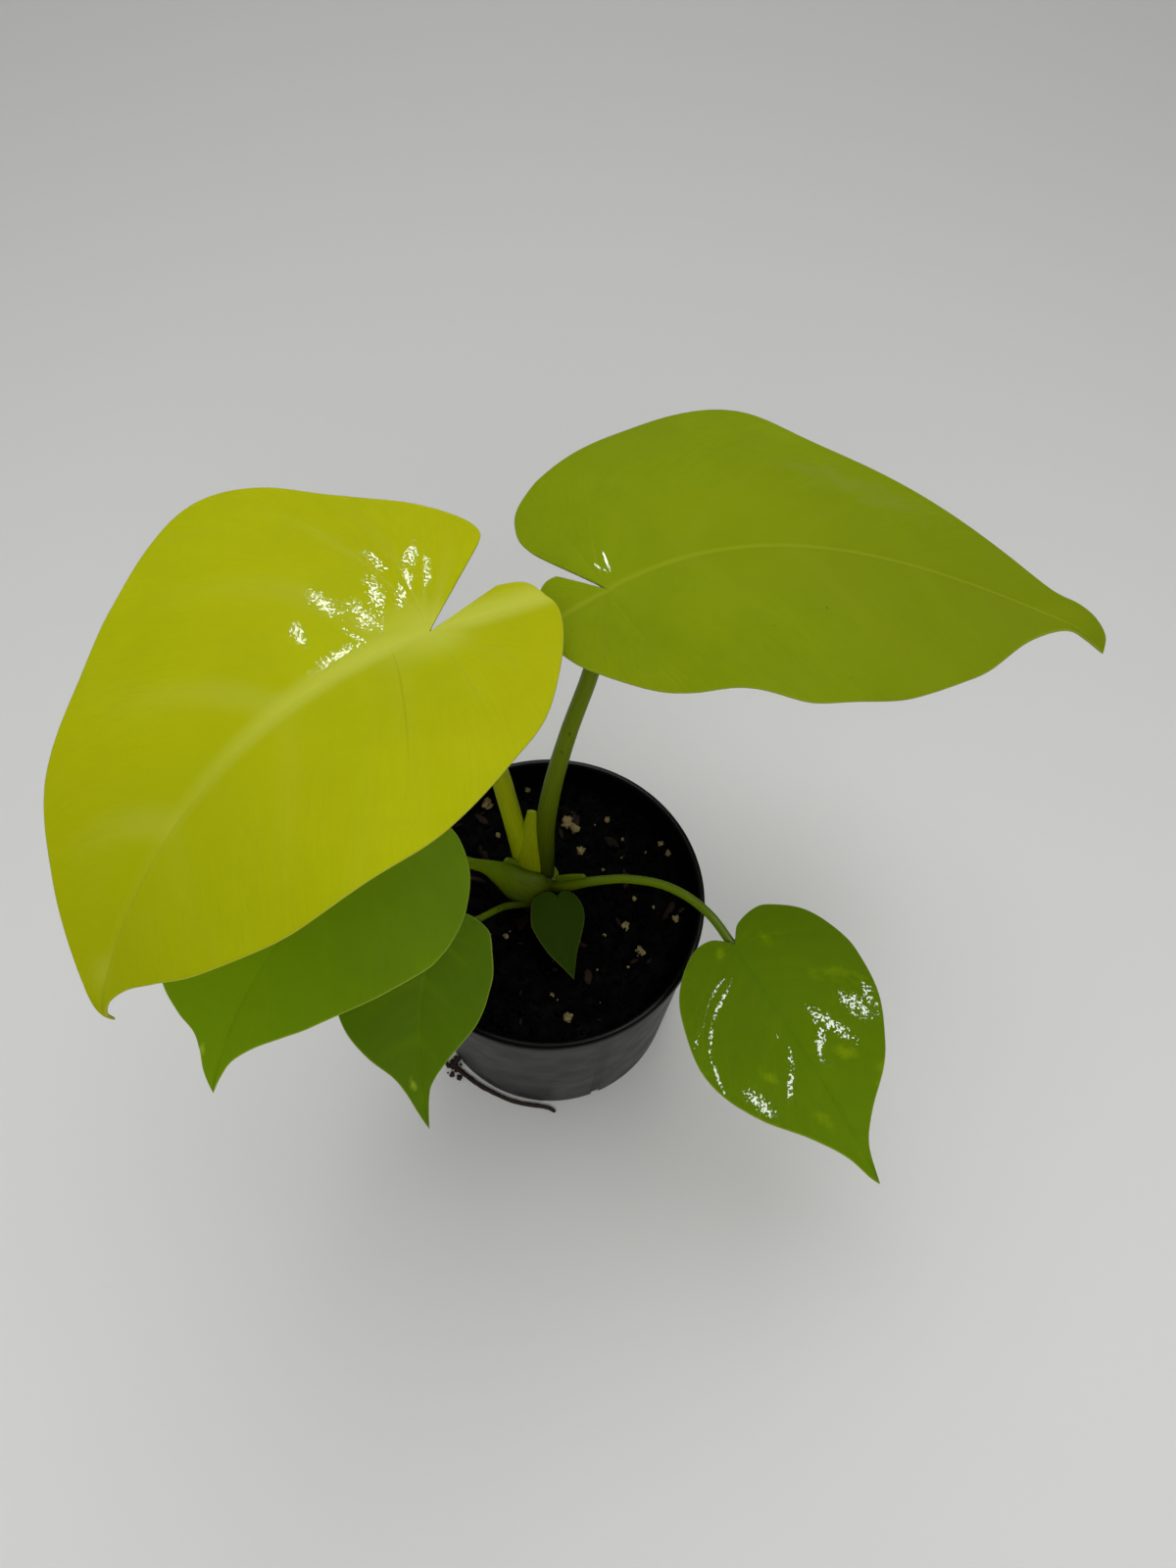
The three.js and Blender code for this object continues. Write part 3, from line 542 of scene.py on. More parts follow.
def blade_finish(name, look):
    """Leaf tissue: a soft midrib and side veins, painted shade in the creases of one half,
    irregular fine veins between them, a light edge, a mottled body that changes towards the tip,
    pale patches of tissue and, on one leaf, a painted sheen, shining streaks, and a paler, duller
    underside."""
    finish = Finish(name)
    cloud, span, blend, times = finish.cloud, finish.span, finish.blend, finish.times
    colour, pale = look["colour"], look["pale"]
    vein, out, rib, reach, rim, under, half, ahead = (finish.value(k) for k in BLADE_LAYERS)
    along = finish.vector(vein, out, half)
    clear = span(out, 0.02, 0.6)
    spot = finish.vector(ahead, times(rib, half), under)

    def nearest(streaks):
        apart = 9.0
        for streak in streaks:
            apart = finish.calc("MINIMUM", finish.apart(spot, *streak), apart)
        return apart

    mottle = cloud(45, 5, 0.65)
    patches = cloud(15, 2)
    body = finish.tones(span(mottle, 0.3, 0.72), colour, 0.95, 1.05)
    body = blend(span(patches, 0.42, 0.7, 0, 0.6), body,
                 (colour[0] * 1.12, colour[1] * 1.03, colour[2]))
    body = blend(span(vein, 0.5, 1), body, look["tip"])

    wander = times(finish.calc("SUBTRACT", cloud(30, 2), 0.5), 0.2)
    count = finish.calc("MULTIPLY_ADD", vein, float(look["veins"]), wander)
    beside = finish.calc("ABSOLUTE", finish.calc("SUBTRACT", finish.calc("FRACT", count), 0.5))
    side = times(span(beside, 0, look["vein_width"], 1, 0), span(out, 0.1, 0.95, 1, 0),
                 span(patches, 0.3, 0.6, 0.35, 1), span(half, -1, 1, 1, look["vein_left"]))
    body = blend(times(side, look["vein_tone"]), body, pale)
    # Painted shade: a dark line along the side veins of one half, from the midrib part way out,
    # where the blade creases.
    crease_shade = times(span(beside, 0, 0.016, 1, 0), span(half, 0, 1),
                   span(vein, 0.56, 0.6, look["crease_shade"], 0), span(out, 0.3, 0.8, 1, 0))
    body = blend(crease_shade, body, shade(colour, 0.6))

    streaks = cloud(1, 2, 0.5, (look["veins"] * 4, 1.4, 3), along)
    fine = cloud(1, 3, 0.65, (look["veins"] * 22, 4, 3), along)
    lines = times(span(fine, 0.42, 0.62), clear)
    body = blend(times(lines, 0.07), body, shade(colour, 0.72))
    body = blend(times(span(streaks, 0.45, 0.7), 0.05), body, pale)

    hub = times(span(reach, 0, look["hub"], look["rib_tone"], 0),
                span(vein, look["fan"], look["fan"] + 0.12, 1, 0))
    wide = span(vein, 0.4, 1, *look["rib_width"])
    fade = span(vein, 0.5, 0.85, look["rib_tone"], look["rib_tone"] * look["rib_end"])
    band = times(span(finish.calc("DIVIDE", rib, wide), 0.1, 1, 1, 0), fade)
    band = finish.calc("MAXIMUM", band, hub)
    body = blend(band, body, look["rib"])

    body = blend(times(span(rim, 0.1, 0.55, 1, 0), look["edge"]), body,
                 toward(pale, (0.62, 0.6, 0.16), 0.35))
    body = blend(span(cloud(60, 4, 0.6), 0.57, 0.69, 0, look["blotches"]), body, pale)
    # Pale patches of tissue on most leaves; on the second leaf a painted sheen, painted where it
    # catches the light.
    if look["worn_marks_and_sheens"]:
        ragged = finish.calc("MULTIPLY_ADD", cloud(200, 3, 0.6), -3.0, 1.5)
        wear_and_sheen = finish.calc("ADD", nearest(look["worn_marks_and_sheens"]), ragged)
        body = blend(span(wear_and_sheen, 0, 1.2, look["wear_and_sheen"], 0), body, look["worn_and_sheen_tint"])
    specks = times(span(finish.cells(150), 0.05, 0.075, 1, 0), span(cloud(11, 1), 0.6, 0.66), 0.6)
    body = blend(specks, body, shade(colour, 0.35))

    below = blend(span(mottle, 0.3, 0.75), toward(colour, (0.4, 0.46, 0.12), 0.35),
                  toward(colour, (0.42, 0.47, 0.14), 0.42))
    below = blend(finish.calc("MAXIMUM", times(side, 0.5), band), below,
                  toward(colour, (0.58, 0.6, 0.24), 0.6))

    if look["wax"]:
        apart = nearest(look["wax"])
        grains = finish.calc("MULTIPLY_ADD", cloud(look["grain"], 2, 0.6), -7.0, 3.5)
        film = span(finish.calc("ADD", apart, grains), look["film"], look["film"] + 0.3,
                    look["coat"], 0)
        finish.give({"Coat Weight": times(film, span(apart, 1, 1.4, 1, 0)),
                     "Coat Roughness": 0.05})
    finish.bump(times(streaks, clear), look["streaks"])
    finish.bump(lines, look["lines"])
    finish.soften(0.08, 0.0015)
    satin = span(cloud(70, 3), 0.3, 0.7, look["satin"] - 0.04, look["satin"] + 0.04)
    return finish.done(blend(span(under, 0.4, 0.6), body, below), satin, look["specular"])


def stalk_finish(name, colour, base, light, height=0.13):
    """Fleshy stalk: fine lines along it, a paler streak, small flecks, and a darker foot that
    lightens up to a height in metres."""
    finish = Finish(name)
    cloud, span = finish.cloud, finish.span
    lines = cloud(1, 3, 0.6, (6, 70, 1), "UV")
    grain = span(lines, 0.3, 0.7)
    body = finish.blend(grain, shade(colour, 0.88), light)
    body = finish.blend(span(cloud(40, 3), 0.45, 0.75, 0, 0.5), body, shade(colour, 1.1))
    foot = finish.tones(grain, base, 0.8, 1.2)
    body = finish.blend(span(finish.axes()["Z"], 0.088, height, 1, 0), body, foot)
    flecks = finish.times(span(finish.cells(420, (1, 1, 0.35)), 0.1, 0.2, 1, 0),
                          span(cloud(60, 1), 0.55, 0.62), 0.6)
    finish.bump(lines, 0.00012, 0.5)
    finish.bump(cloud(900, 2), 0.00003, 0.5)
    finish.soften(0.1, 0.002)
    return finish.done(finish.blend(flecks, body, shade(colour, 0.25)),
                       span(cloud(120, 2), 0.3, 0.7, 0.38, 0.5), 0.1)


def pot_finish(colour, middle, slope):
    """Satin black plastic with a fine moulded skin. The outside, below the lip, is lightened by
    dust in patches and has a few scuffs; the inside and the lip are painted several times darker,
    as painted shade. The outside is what lies beyond the middle of the wall, whose radius is
    middle at the foot, in metres, and grows by slope."""
    finish = Finish("pot_plastic")
    cloud, span, calc = finish.cloud, finish.span, finish.calc
    x, y, z = finish.axes()
    radius = calc("SQRT", calc("MULTIPLY_ADD", x, x, calc("MULTIPLY", y, y)))
    wall = calc("SUBTRACT", radius, calc("MULTIPLY_ADD", z, slope, middle))
    outside = finish.times(span(wall, -0.0003, 0.0003), span(z, 0.088, 0.0905, 1, 0))
    dust = span(cloud(24, 4, 0.6), 0.4, 0.8, 0, 0.5)
    scuffs = span(cloud(50, 4, 0.7, (1, 1, 16)), 0.64, 0.8)
    grey = finish.blend(finish.times(scuffs, 0.1), finish.tones(dust, colour, 1, 1.3),
                        (0.05, 0.05, 0.048))
    finish.bump(cloud(1400, 2), 0.00002, 0.6)
    finish.bump(scuffs, 0.00002, 0.3)
    # Inside and on the lip the plastic is painted several times darker: painted shade.
    return finish.done(finish.blend(outside, finish.tones(dust, colour, 0.12, 0.2), grey),
                       span(cloud(90, 4), 0.25, 0.75, 0.36, 0.46), 0.09)


def soil_finish(dark, bark):
    """Moist peat: crumbs with brown fibres and a damp gloss in places, almost black, partly the
    peat's own colour and partly painted shade of the pot's hollow.
    """
    finish = Finish("potting_mix")
    crumbs = finish.cloud(420, 5, 0.7)
    body = finish.tones(finish.span(crumbs, 0.35, 0.7), dark, 0.5, 2.2)
    fibres = finish.span(finish.cloud(240, 4, 0.6, (1, 4, 1)), 0.6, 0.75, 0, 0.3)
    finish.bump(crumbs, 0.0006, 0.8)
    return finish.done(finish.blend(fibres, body, shade(bark, 0.5)),
                       finish.span(finish.cloud(180, 3), 0.3, 0.7, 0.6, 0.95), 0.02)


def bark_finish(bark):
    finish = Finish("bark_chips")
    grain = finish.cloud(300, 4, 0.65, (1, 5, 1))
    body = finish.tones(finish.span(grain, 0.3, 0.7), bark, 0.4, 1)
    finish.bump(grain, 0.0004, 0.8)
    return finish.done(
        finish.blend(finish.span(finish.cloud(70, 2), 0.4, 0.7), body, shade(bark, 0.25)),
        finish.span(grain, 0.3, 0.7, 0.7, 0.95), 0.08)


def perlite_finish(perlite):
    """Foamed white mineral, stained by the wet peat round it."""
    finish = Finish("perlite_bits")
    pores = finish.cells(900)
    body = finish.blend(finish.span(finish.cloud(160, 4, 0.6), 0.38, 0.68), perlite,
                        toward(perlite, (0.1, 0.06, 0.02), 0.6))
    finish.bump(pores, 0.0004, 0.6)
    return finish.done(finish.blend(finish.span(pores, 0.1, 0.5, 0.5, 0), body,
                                    shade(perlite, 0.35)), 0.85, 0.1)


def root_finish(root):
    finish = Finish("dry_root")
    grain = finish.cloud(1, 4, 0.65, (40, 8, 1), "UV")
    finish.bump(grain, 0.0004, 0.8)
    return finish.done(finish.tones(finish.span(grain, 0.3, 0.7), root, 0.4, 1.3),
                       finish.span(grain, 0.3, 0.7, 0.75, 0.95))


def floor_finish(colour):
    """Plain matt floor, painted a little darker further off: painted shade where the light falls
    off.
    """
    finish = Finish("pale_floor")
    # Painted shade: the floor's colour drops away from the camera side, as the light does.
    painted_falloff = finish.times(finish.span(finish.axes()["Y"], -0.3, 0.8, 1, 0),
                        finish.span(finish.cloud(3, 2), 0.3, 0.7, 0.985, 1))
    finish.bump(finish.cloud(900, 2), 0.00004, 0.3)
    return finish.done(finish.tones(painted_falloff, colour, 0.7, 1), 0.6, 0.1)


# Pot

# How far the lip stands out from the wall, and how thick the floor is, in millimetres.
LIP_OVERHANG = 0.9
POT_FLOOR = 2.5


class PLANT_OT_make_pot(bpy.types.Operator):
    """Spins the thin tapered pot with its small lip, and cuts its drain slots"""

    bl_idname = "plant.make_pot"
    bl_label = "Nursery pot"
    bl_options = {"REGISTER", "UNDO"}

    LIP_HEIGHT = 4.5
    STEPS = 160
    SHARP = 38
    SLOTS = 5
    FIRST_SLOT = 222
    SLOT_SIZE = (11, 3.4, 10)

    def execute(self, context):
        pot = settings("plant_pot")
        height, rim, foot, wall = (v / MM for v in (pot.height, pot.rim_radius,
                                                    pot.foot_radius, pot.wall))
        floor = POT_FLOOR
        slope = (rim - LIP_OVERHANG - foot) / height

        def outer(z):
            return foot + slope * z

        low = height - self.LIP_HEIGHT
        profile = [(0, 0), (foot - 1, 0), (foot - 0.55, 0.12), (foot - 0.15, 0.5), (foot, 1),
                   (outer(low - 0.5), low - 0.5), (outer(low), low - 0.06),
                   (rim - 0.35, low + 0.45), (rim - 0.08, low + 0.65), (rim, low + 1),
                   (rim, height - 1.1), (rim - 0.12, height - 0.65), (rim - 0.45, height - 0.25),
                   (rim - 0.9, height - 0.05), (rim - 1.4, height), (rim - 1.8, height - 0.12),
                   (rim - 2.15, height - 0.45), (outer(height) - wall - 0.02, height - 1),
                   (outer(height - 2) - wall, height - 2)]
        profile += [(outer(z) - wall, z) for z in (70, 45, 20, floor + 1.2)]
        profile += [(outer(floor) - wall - 0.35, floor + 0.3), (outer(floor) - wall - 1, floor),
                    (0, floor)]
        plastic = pot_finish(pot.colour, pot.foot_radius - pot.wall / 2, slope)
        piece = finish_piece(spun(profile, self.STEPS), "nursery_pot", [plastic], "pot", ["pot"],
                             self.SHARP)
        self.cut_slots(piece, foot)
        return {"FINISHED"}

    def cut_slots(self, piece, foot):
        """Cuts the narrow slots that drain water out round the floor's edge."""
        bm = bmesh.new()
        out = Matrix.Translation((foot - self.SLOT_SIZE[0] / 2 + 2, 0, 0))
        for k in range(self.SLOTS):
            turn = Matrix.Rotation(math.radians(self.FIRST_SLOT + 360 * k / self.SLOTS), 4, "Z")
            bmesh.ops.create_cube(bm, size=1, matrix=turn @ out @ Matrix.Diagonal(
                (*self.SLOT_SIZE, 1)))
        bmesh.ops.scale(bm, vec=(MM, MM, MM), verts=bm.verts)
        cutter = new_object(bm, "slots")
        cut = piece.modifiers.new("Slots", "BOOLEAN")
        cut.object = cutter
        cut.operation = "DIFFERENCE"
        cut.solver = "EXACT"
        graph = bpy.context.evaluated_depsgraph_get()
        piece.data = bpy.data.meshes.new_from_object(piece.evaluated_get(graph))
        piece.data.name = "nursery_pot"
        piece.modifiers.clear()
        bpy.data.objects.remove(cutter)


# Soil

def ground_height(x, y, top):
    """Height of the mix at a place, in low waves about its level."""
    return (top + 0.9 * math.sin(x / 6.1 + 1.3) * math.cos(y / 7.3)
            + 0.54 * math.sin(x / 3.4 - y / 4.1))


class PLANT_OT_make_soil(bpy.types.Operator):
    """Fills the pot with dark mix, and lays crumbs, bark and perlite on it"""

    bl_idname = "plant.make_soil"
    bl_label = "Potting mix"
    bl_options = {"REGISTER", "UNDO"}

    # The mix ends this far from the pot, so that the two never share a face.
    GAP = 0.3
    RINGS, STEPS = 64, 200
    CHIPS = 46
    SMALL_PERLITE = 30

    def execute(self, context):
        soil, pot = settings("plant_soil"), settings("plant_pot")
        self.top = soil.top / MM
        self.draw = random.Random(soil.seed)
        foot = pot.foot_radius / MM
        slope = (pot.rim_radius / MM - LIP_OVERHANG - foot) / (pot.height / MM)
        inside = foot - pot.wall / MM - self.GAP
        self.side = inside + slope * self.top
        dark = soil_finish(soil.dark, soil.bark)
        self.make_ground(dark, inside)
        self.make_bits("soil_crumbs", dark, [self.crumb] * soil.crumbs)
        self.make_bits("bark_chips", bark_finish(soil.bark), [self.chip] * self.CHIPS)
        bits = [(x, y, ground_height(x, y, self.top), size) for x, y, size in PERLITE]
        for _ in range(self.SMALL_PERLITE):
            bits.append((*self.spot(3), 0.35 + 0.75 * self.draw.random() ** 2))
        self.make_bits("perlite_bits", perlite_finish(soil.perlite),
                       [lambda bm, bit=bit: self.perlite(bm, *bit) for bit in bits])
        return {"FINISHED"}

    def make_ground(self, material, low_side):
        low = POT_FLOOR + self.GAP
        profile = [(0, low), (low_side - 2, low), (low_side, low + 1)]
        profile += [(self.side * k / self.RINGS, self.top) for k in range(self.RINGS, -1, -1)]
        bm = spun(profile, self.STEPS)
        for vert in bm.verts:
            if vert.co.z > self.top - 1:
                x, y, _ = vert.co
                lumps = 1.1 * noise.fractal(Vector((x, y, 3)) / 3.1, 0.9, 2.1, 4)
                lumps += 0.5 * abs(noise.noise(Vector((x, y, 9)) / 1.1))
                edge = smooth_step(self.side - math.hypot(x, y), 0, 2.5)
                vert.co.z = ground_height(x, y, self.top) - 0.3 + lumps * edge
        finish_piece(bm, "soil_ground", [material], "soil", ["soil"])

    def make_bits(self, name, material, adds):
        bm = bmesh.new()
        for add in adds:
            add(bm)
        finish_piece(bm, name, [material], "soil")

    def spot(self, margin):
        """A place on the ground, drawn at random, at least a margin from the pot."""
        turn = self.draw.uniform(0, 2 * math.pi)
        out = (self.side - margin) * math.sqrt(self.draw.random())
        x, y = out * math.cos(turn), out * math.sin(turn)
        return x, y, ground_height(x, y, self.top)

    def add_lump(self, bm, place, shape, tilt, detail, rough):
        """One rough lump: a round shape, squeezed, turned and dented."""
        turn = Quaternion((0, 0, 1), self.draw.uniform(0, 2 * math.pi)) @ Quaternion(
            (1, 0, 0), self.draw.uniform(-tilt, tilt))
        place, turn = Vector(place), turn.to_matrix()
        for vert in bmesh.ops.create_icosphere(bm, subdivisions=detail, radius=1)["verts"]:
            dent = 1 + rough * noise.noise(vert.co * 1.7 + place * 7)
            dent += 0.4 * rough * noise.noise(vert.co * 4.1 + place * 7)
            vert.co = place + turn @ (vert.co * dent * Vector(shape))

    def crumb(self, bm):
        size = 0.45 + 1.1 * self.draw.random() ** 2
        x, y, z = self.spot(1.4)
        shape = [size * self.draw.uniform(0.55, 1.2) for _ in range(3)]
        self.add_lump(bm, (x, y, z + size * 0.15), shape, 0.8, 1, 0.5)

    def chip(self, bm):
        size = 0.8 + 2.2 * self.draw.random() ** 2
        x, y, z = self.spot(3.2)
        shape = (size * 1.3, size * self.draw.uniform(0.35, 0.7), size * 0.3)
        self.add_lump(bm, (x, y, z + 0.35), shape, 0.5, 2, 0.45)

    def perlite(self, bm, x, y, z, size):
        shape = [size * self.draw.uniform(0.5, 0.85) for _ in range(3)]
        self.add_lump(bm, (x, y, z + size * 0.2), shape, 0.6, 3, 0.75)


# Roots and stem

class PLANT_OT_make_roots(bpy.types.Operator):
    """Runs the roots through the mix, with one out of a drain slot and round the foot"""

    bl_idname = "plant.make_roots"
    bl_label = "Roots"
    bl_options = {"REGISTER", "UNDO"}

    # Crumbs of mix that came out with the root: where, how many and how far they spread.
    CRUMBS_AT = Vector((-36.5, -34, 1.4))
    CRUMBS = 26
    SPREAD = (1.4, 1.8)
    SEED = 3

    def execute(self, context):
        bm = bmesh.new()
        add_tube(bm, ROOT_CROWN, (1, 0, 0), 10, 16)
        for n, stations in enumerate(ROOTS):
            add_tube(bm, stations, (0, 0, 1), 24 * (len(stations) - 1), 10,
                     lambda t, turn, n=n: 1 + 0.22 * noise.noise(Vector(
                         (t * 60 + n * 9, math.cos(turn), math.sin(turn)))))
        draw = random.Random(self.SEED)
        for _ in range(self.CRUMBS):
            size = draw.uniform(0.35, 1.3)
            spot = self.CRUMBS_AT + Vector([draw.gauss(0, wide) for wide in self.SPREAD] + [0])
            spot.z = max(size * 0.8, 0.8)
            for vert in bmesh.ops.create_icosphere(bm, subdivisions=2, radius=size)["verts"]:
                vert.co = spot + vert.co * (0.8 + 0.7 * noise.noise(vert.co * 2 + spot))
        for vert in bm.verts:
            vert.co.z = max(vert.co.z, 0.08)
        finish_piece(bm, "root_system", [root_finish(settings("plant_soil").root)], "root",
                     ["roots"])
        return {"FINISHED"}


class PLANT_OT_make_stem(bpy.types.Operator):
    """Makes the short stem that the sheaths wrap round"""

    bl_idname = "plant.make_stem"
    bl_label = "Stem"
    bl_options = {"REGISTER", "UNDO"}

    def execute(self, context):
        plant = settings("plant_leaves")
        bm = bmesh.new()
        add_tube(bm, STEM["stations"], STEM["wide"], 40, 40,
                 lambda t, turn: 1 + 0.03 * math.sin(t * 40) * (t > 0.3))
        green = stalk_finish("stem_tissue", shade(plant.green, 1.1), shade(plant.green, 0.6),
                             toward(plant.green, plant.gold, 0.4))
        finish_piece(bm, "short_stem", [green], "young_green", ["stem"])
        return {"FINISHED"}


# Stalks

def channelled(t, turn):
    """A shallow channel down the upper side, deeper towards the blade."""
    channel = 0.1 * smooth_step(t, 0.35, 0.8) * max(math.sin(turn), 0) ** 6
    return 1 - channel + 0.03 * math.exp(-((t - 0.93) / 0.04) ** 2)


class PLANT_OT_make_stalks(bpy.types.Operator):
    """Makes the leaf stalks with their channels and the free edges of their sheaths"""

    bl_idname = "plant.make_stalks"
    bl_label = "Stalks"
    bl_options = {"REGISTER", "UNDO"}

    def execute(self, context):
        plant = settings("plant_leaves")
        young = toward(plant.gold, plant.lime, 0.45)
        dark = shade(plant.lime, 0.17)
        gold = stalk_finish("gold_stalk", shade(young, 0.8), shade(young, 0.85),
                            shade(young, 1.05))
        lime = stalk_finish("lime_stalk", shade(plant.lime, 0.62), dark,
                            shade(plant.lime, 0.85), 0.17)
        green = stalk_finish("green_stalk", shade(plant.green, 0.66), dark,
                             shade(plant.lime, 0.8), 0.112)
        sheath = stalk_finish("sheath_tissue", shade(young, 0.7), shade(young, 0.6),
                              shade(young, 0.9))
        # The last of a stalk's materials is on the free edge of its sheath.
        materials = {"big_left": [gold], "big_right": [lime, sheath]}
        for name, plan in STALKS.items():
            bm = bmesh.new()
            add_tube(bm, plan["stations"], plan["wide"], 90, 36, channelled, 0.5)
            stalk_faces = len(bm.faces)
            chosen = materials.get(name, [green])
            if "wing" in plan:
                add_tube(bm, plan["wing"], plan["wide"], 40, 28)
            for face in list(bm.faces)[stalk_faces:]:
                face.material_index = len(chosen) - 1
            finish_piece(bm, "stalk_" + name + "_fine", chosen,
                         LOOKS[name].get("slot", LOOK["slot"]), ["stalk_" + name])
        return {"FINISHED"}


# Leaves

class Blade:
    """The form of one leaf blade."""

    TIP_START, TIP_END = 0.89, 0.98
    VEIN_LEAN = 1.25
    RIB_STEPS = 600

    def __init__(self, plan):
        self.plan = plan
        self.length = plan["length"]
        self.half = max(y for _, y in plan["left"])
        self.fold = math.radians(plan["fold"])
        self.stations = self.midrib()
        self.margins = {side: spaced([Vector(p) for p in plan[key]], plan["rows"])
                        for side, key in ((1, "left"), (-1, "right"))}
        self.girth = sum((b - a).length for a, b in zip(self.margins[1], self.margins[1][1:]))

    def midrib(self):
        """Points along the midrib, each with the ways along, across and up."""
        plan = self.plan
        stations = []
        point, last = Vector(plan["base"]), None
        for i in range(self.RIB_STEPS + 1):
            s = i / self.RIB_STEPS
            pitch = math.radians(plan["pitch"] + plan["bend"] * s + plan["bend_more"] * s * s
                                 + plan["tip_drop"] * smooth_step(s, self.TIP_START,
                                                                  self.TIP_END))
            heading = math.radians(plan["heading"] + plan["sweep"] * s)
            along = Vector((math.cos(pitch) * math.cos(heading),
                            math.cos(pitch) * math.sin(heading), math.sin(pitch)))
            across = Vector((-math.sin(heading), math.cos(heading), 0))
            across.rotate(Quaternion(along, math.radians(plan["roll"] + plan["twist"] * s)))
            if last is not None:
                point = point + (last + along) * (self.length / self.RIB_STEPS / 2)
            last = along
            stations.append((point, along, across, along.cross(across)))
        return stations

    def surface(self, x, d, side):
        """The middle of the blade x along the midrib and d out from it."""
        plan = self.plan
        at = min(max(x / self.length, 0), 1) * self.RIB_STEPS
        i = min(int(at), self.RIB_STEPS - 1)
        point, along, across, normal = (a.lerp(b, at - i) for a, b in
                                        zip(self.stations[i], self.stations[i + 1]))
        curl = plan["curl_left"] if side > 0 else plan["curl_right"]
        reach = (math.sin(self.fold) - math.sin(self.fold - curl * d)) / curl
        rise = (math.cos(self.fold - curl * d) - math.cos(self.fold)) / curl
        rise += (plan["ripple"] * (d / self.half) ** 2
                 * math.sin(2 * math.pi * x / plan["wave"] + side))
        return point + along * min(x, 0) + across * (side * reach) + normal * rise

    def flat(self, i, out, side):
        """Where row i is on the flat blade, a share out from the midrib. Rows bow as veins do."""
        t = i / self.plan["rows"]
        fan = self.plan["fan"]
        inner = Vector(((max(t - fan, 0) / (1 - fan)) ** self.VEIN_LEAN * self.length, 0))
        row = self.margins[side][i] - inner
        back = Vector((-row.y, row.x)) * side
        bow = self.plan["bow"] * smooth_step(t, 0, fan) * smooth_step(1 - t, 0, 0.12)
        return inner + row * out + back * (bow * 2 * out * (1 - out)), row.length

    def middle(self, i, out, side):
        """A corner in the middle of the tissue, the way up there, and where it is when flat."""
        flat, row = self.flat(i, out, side)
        x, d = flat.x, abs(flat.y)
        if out == 0:
            spot = self.surface(x, 0, 1)
            up = (self.surface(x, 1, 1) + self.surface(x, 1, -1)) / 2 - spot
            return spot, up.normalized(), flat, row
        sign = 1 if flat.y >= 0 else -1
        step = 0.05
        ahead = self.surface(x + step, d, sign) - self.surface(x - step, d, sign)
        aside = self.surface(x, d + step, sign) - self.surface(x, max(d - step, 0), sign)
        return self.surface(x, d, sign), ahead.cross(aside).normalized() * sign, flat, row


# Shares of the way from the midrib to the margin where a row has a corner.
OUT_PLACES = (0, 0.008, 0.018, 0.03, 0.045, 0.065, 0.09, 0.13, 0.18, 0.24, 0.31, 0.38, 0.45,
              0.52, 0.59, 0.66, 0.73, 0.79, 0.845, 0.89, 0.925, 0.95, 0.968, 0.981, 0.991,
              0.997, 1)


def leaf_mesh(plan, plant):
    """One closed blade: rows from the midrib to the margin on both faces, the midrib grooved
    above and keeled below, and the tissue between the side veins slightly raised."""
    blade = Blade(plan)
    rows = plan["rows"]
    # Once round the section: over the left and right halves, then under the right and left.
    places = [(out, 1, 1) for out in reversed(OUT_PLACES)]
    places += [(out, -1, 1) for out in OUT_PLACES[1:]]
    places += [(out, -1, -1) for out in reversed(OUT_PLACES[:-1])]
    places += [(out, 1, -1) for out in OUT_PLACES[1:]]
    half = plant.blade / MM / 2
    keel, groove, relief = (v / MM for v in (plant.keel, plant.groove, plant.relief))
    size = min(1, blade.length / 100)
    kept = {}

    def place(i, k):
        out, side, face = places[k]
        key = (i, out, side if out else 1)
        if key not in kept:
            kept[key] = blade.middle(*key)
        spot, up, flat, row = kept[key]
        x, d = flat.x, abs(flat.y) if out else 0
        t = i / rows
        from_rim = min((1 - out) * row, t * blade.girth * out + max(2 - out * row, 0),
                       (1 - t) * blade.girth + (1 - out) * row)
        edge = math.sqrt(max(1 - (1 - min(from_rim / 0.7, 1)) ** 2, 0))
        ahead = min(max(x / blade.length, 0), 1)
        beside = abs((t * plan["veins"]) % 1 - 0.5)
        line = math.exp(-((beside / 0.07) ** 2)) * (1 - out) ** 0.5 * min(out * 8, 1)
        if face > 0:
            wide = (1.5 * (1 - ahead) + 0.35) * size
            rise = half * edge - groove * size * math.exp(-((d / wide) ** 2)) * edge
            rise += (math.sin(math.pi * beside) ** 2 * 2.2 * relief * 4 * out * (1 - out)
                     - line * relief) * size
        else:
            wide = (1.7 * (1 - ahead) + 0.3) * size
            rise = half * edge + keel * (1 - ahead) * math.exp(-((d / wide) ** 2)) * edge
            rise = -(rise + line * relief * 1.5 * size * edge)
        return (spot + up * rise, t, out, d, out * row, max(from_rim, 0), float(face < 0),
                side if out else 0, x)

    bm = bmesh.new()
    layers = [bm.verts.layers.float.new(n) for n in BLADE_LAYERS]
    mapped_grid(bm, rows, len(places) - 1, place, layers)
    bmesh.ops.remove_doubles(bm, verts=bm.verts, dist=2e-3)
    bmesh.ops.holes_fill(bm, edges=[edge for edge in bm.edges if edge.is_boundary], sides=0)
    return bm


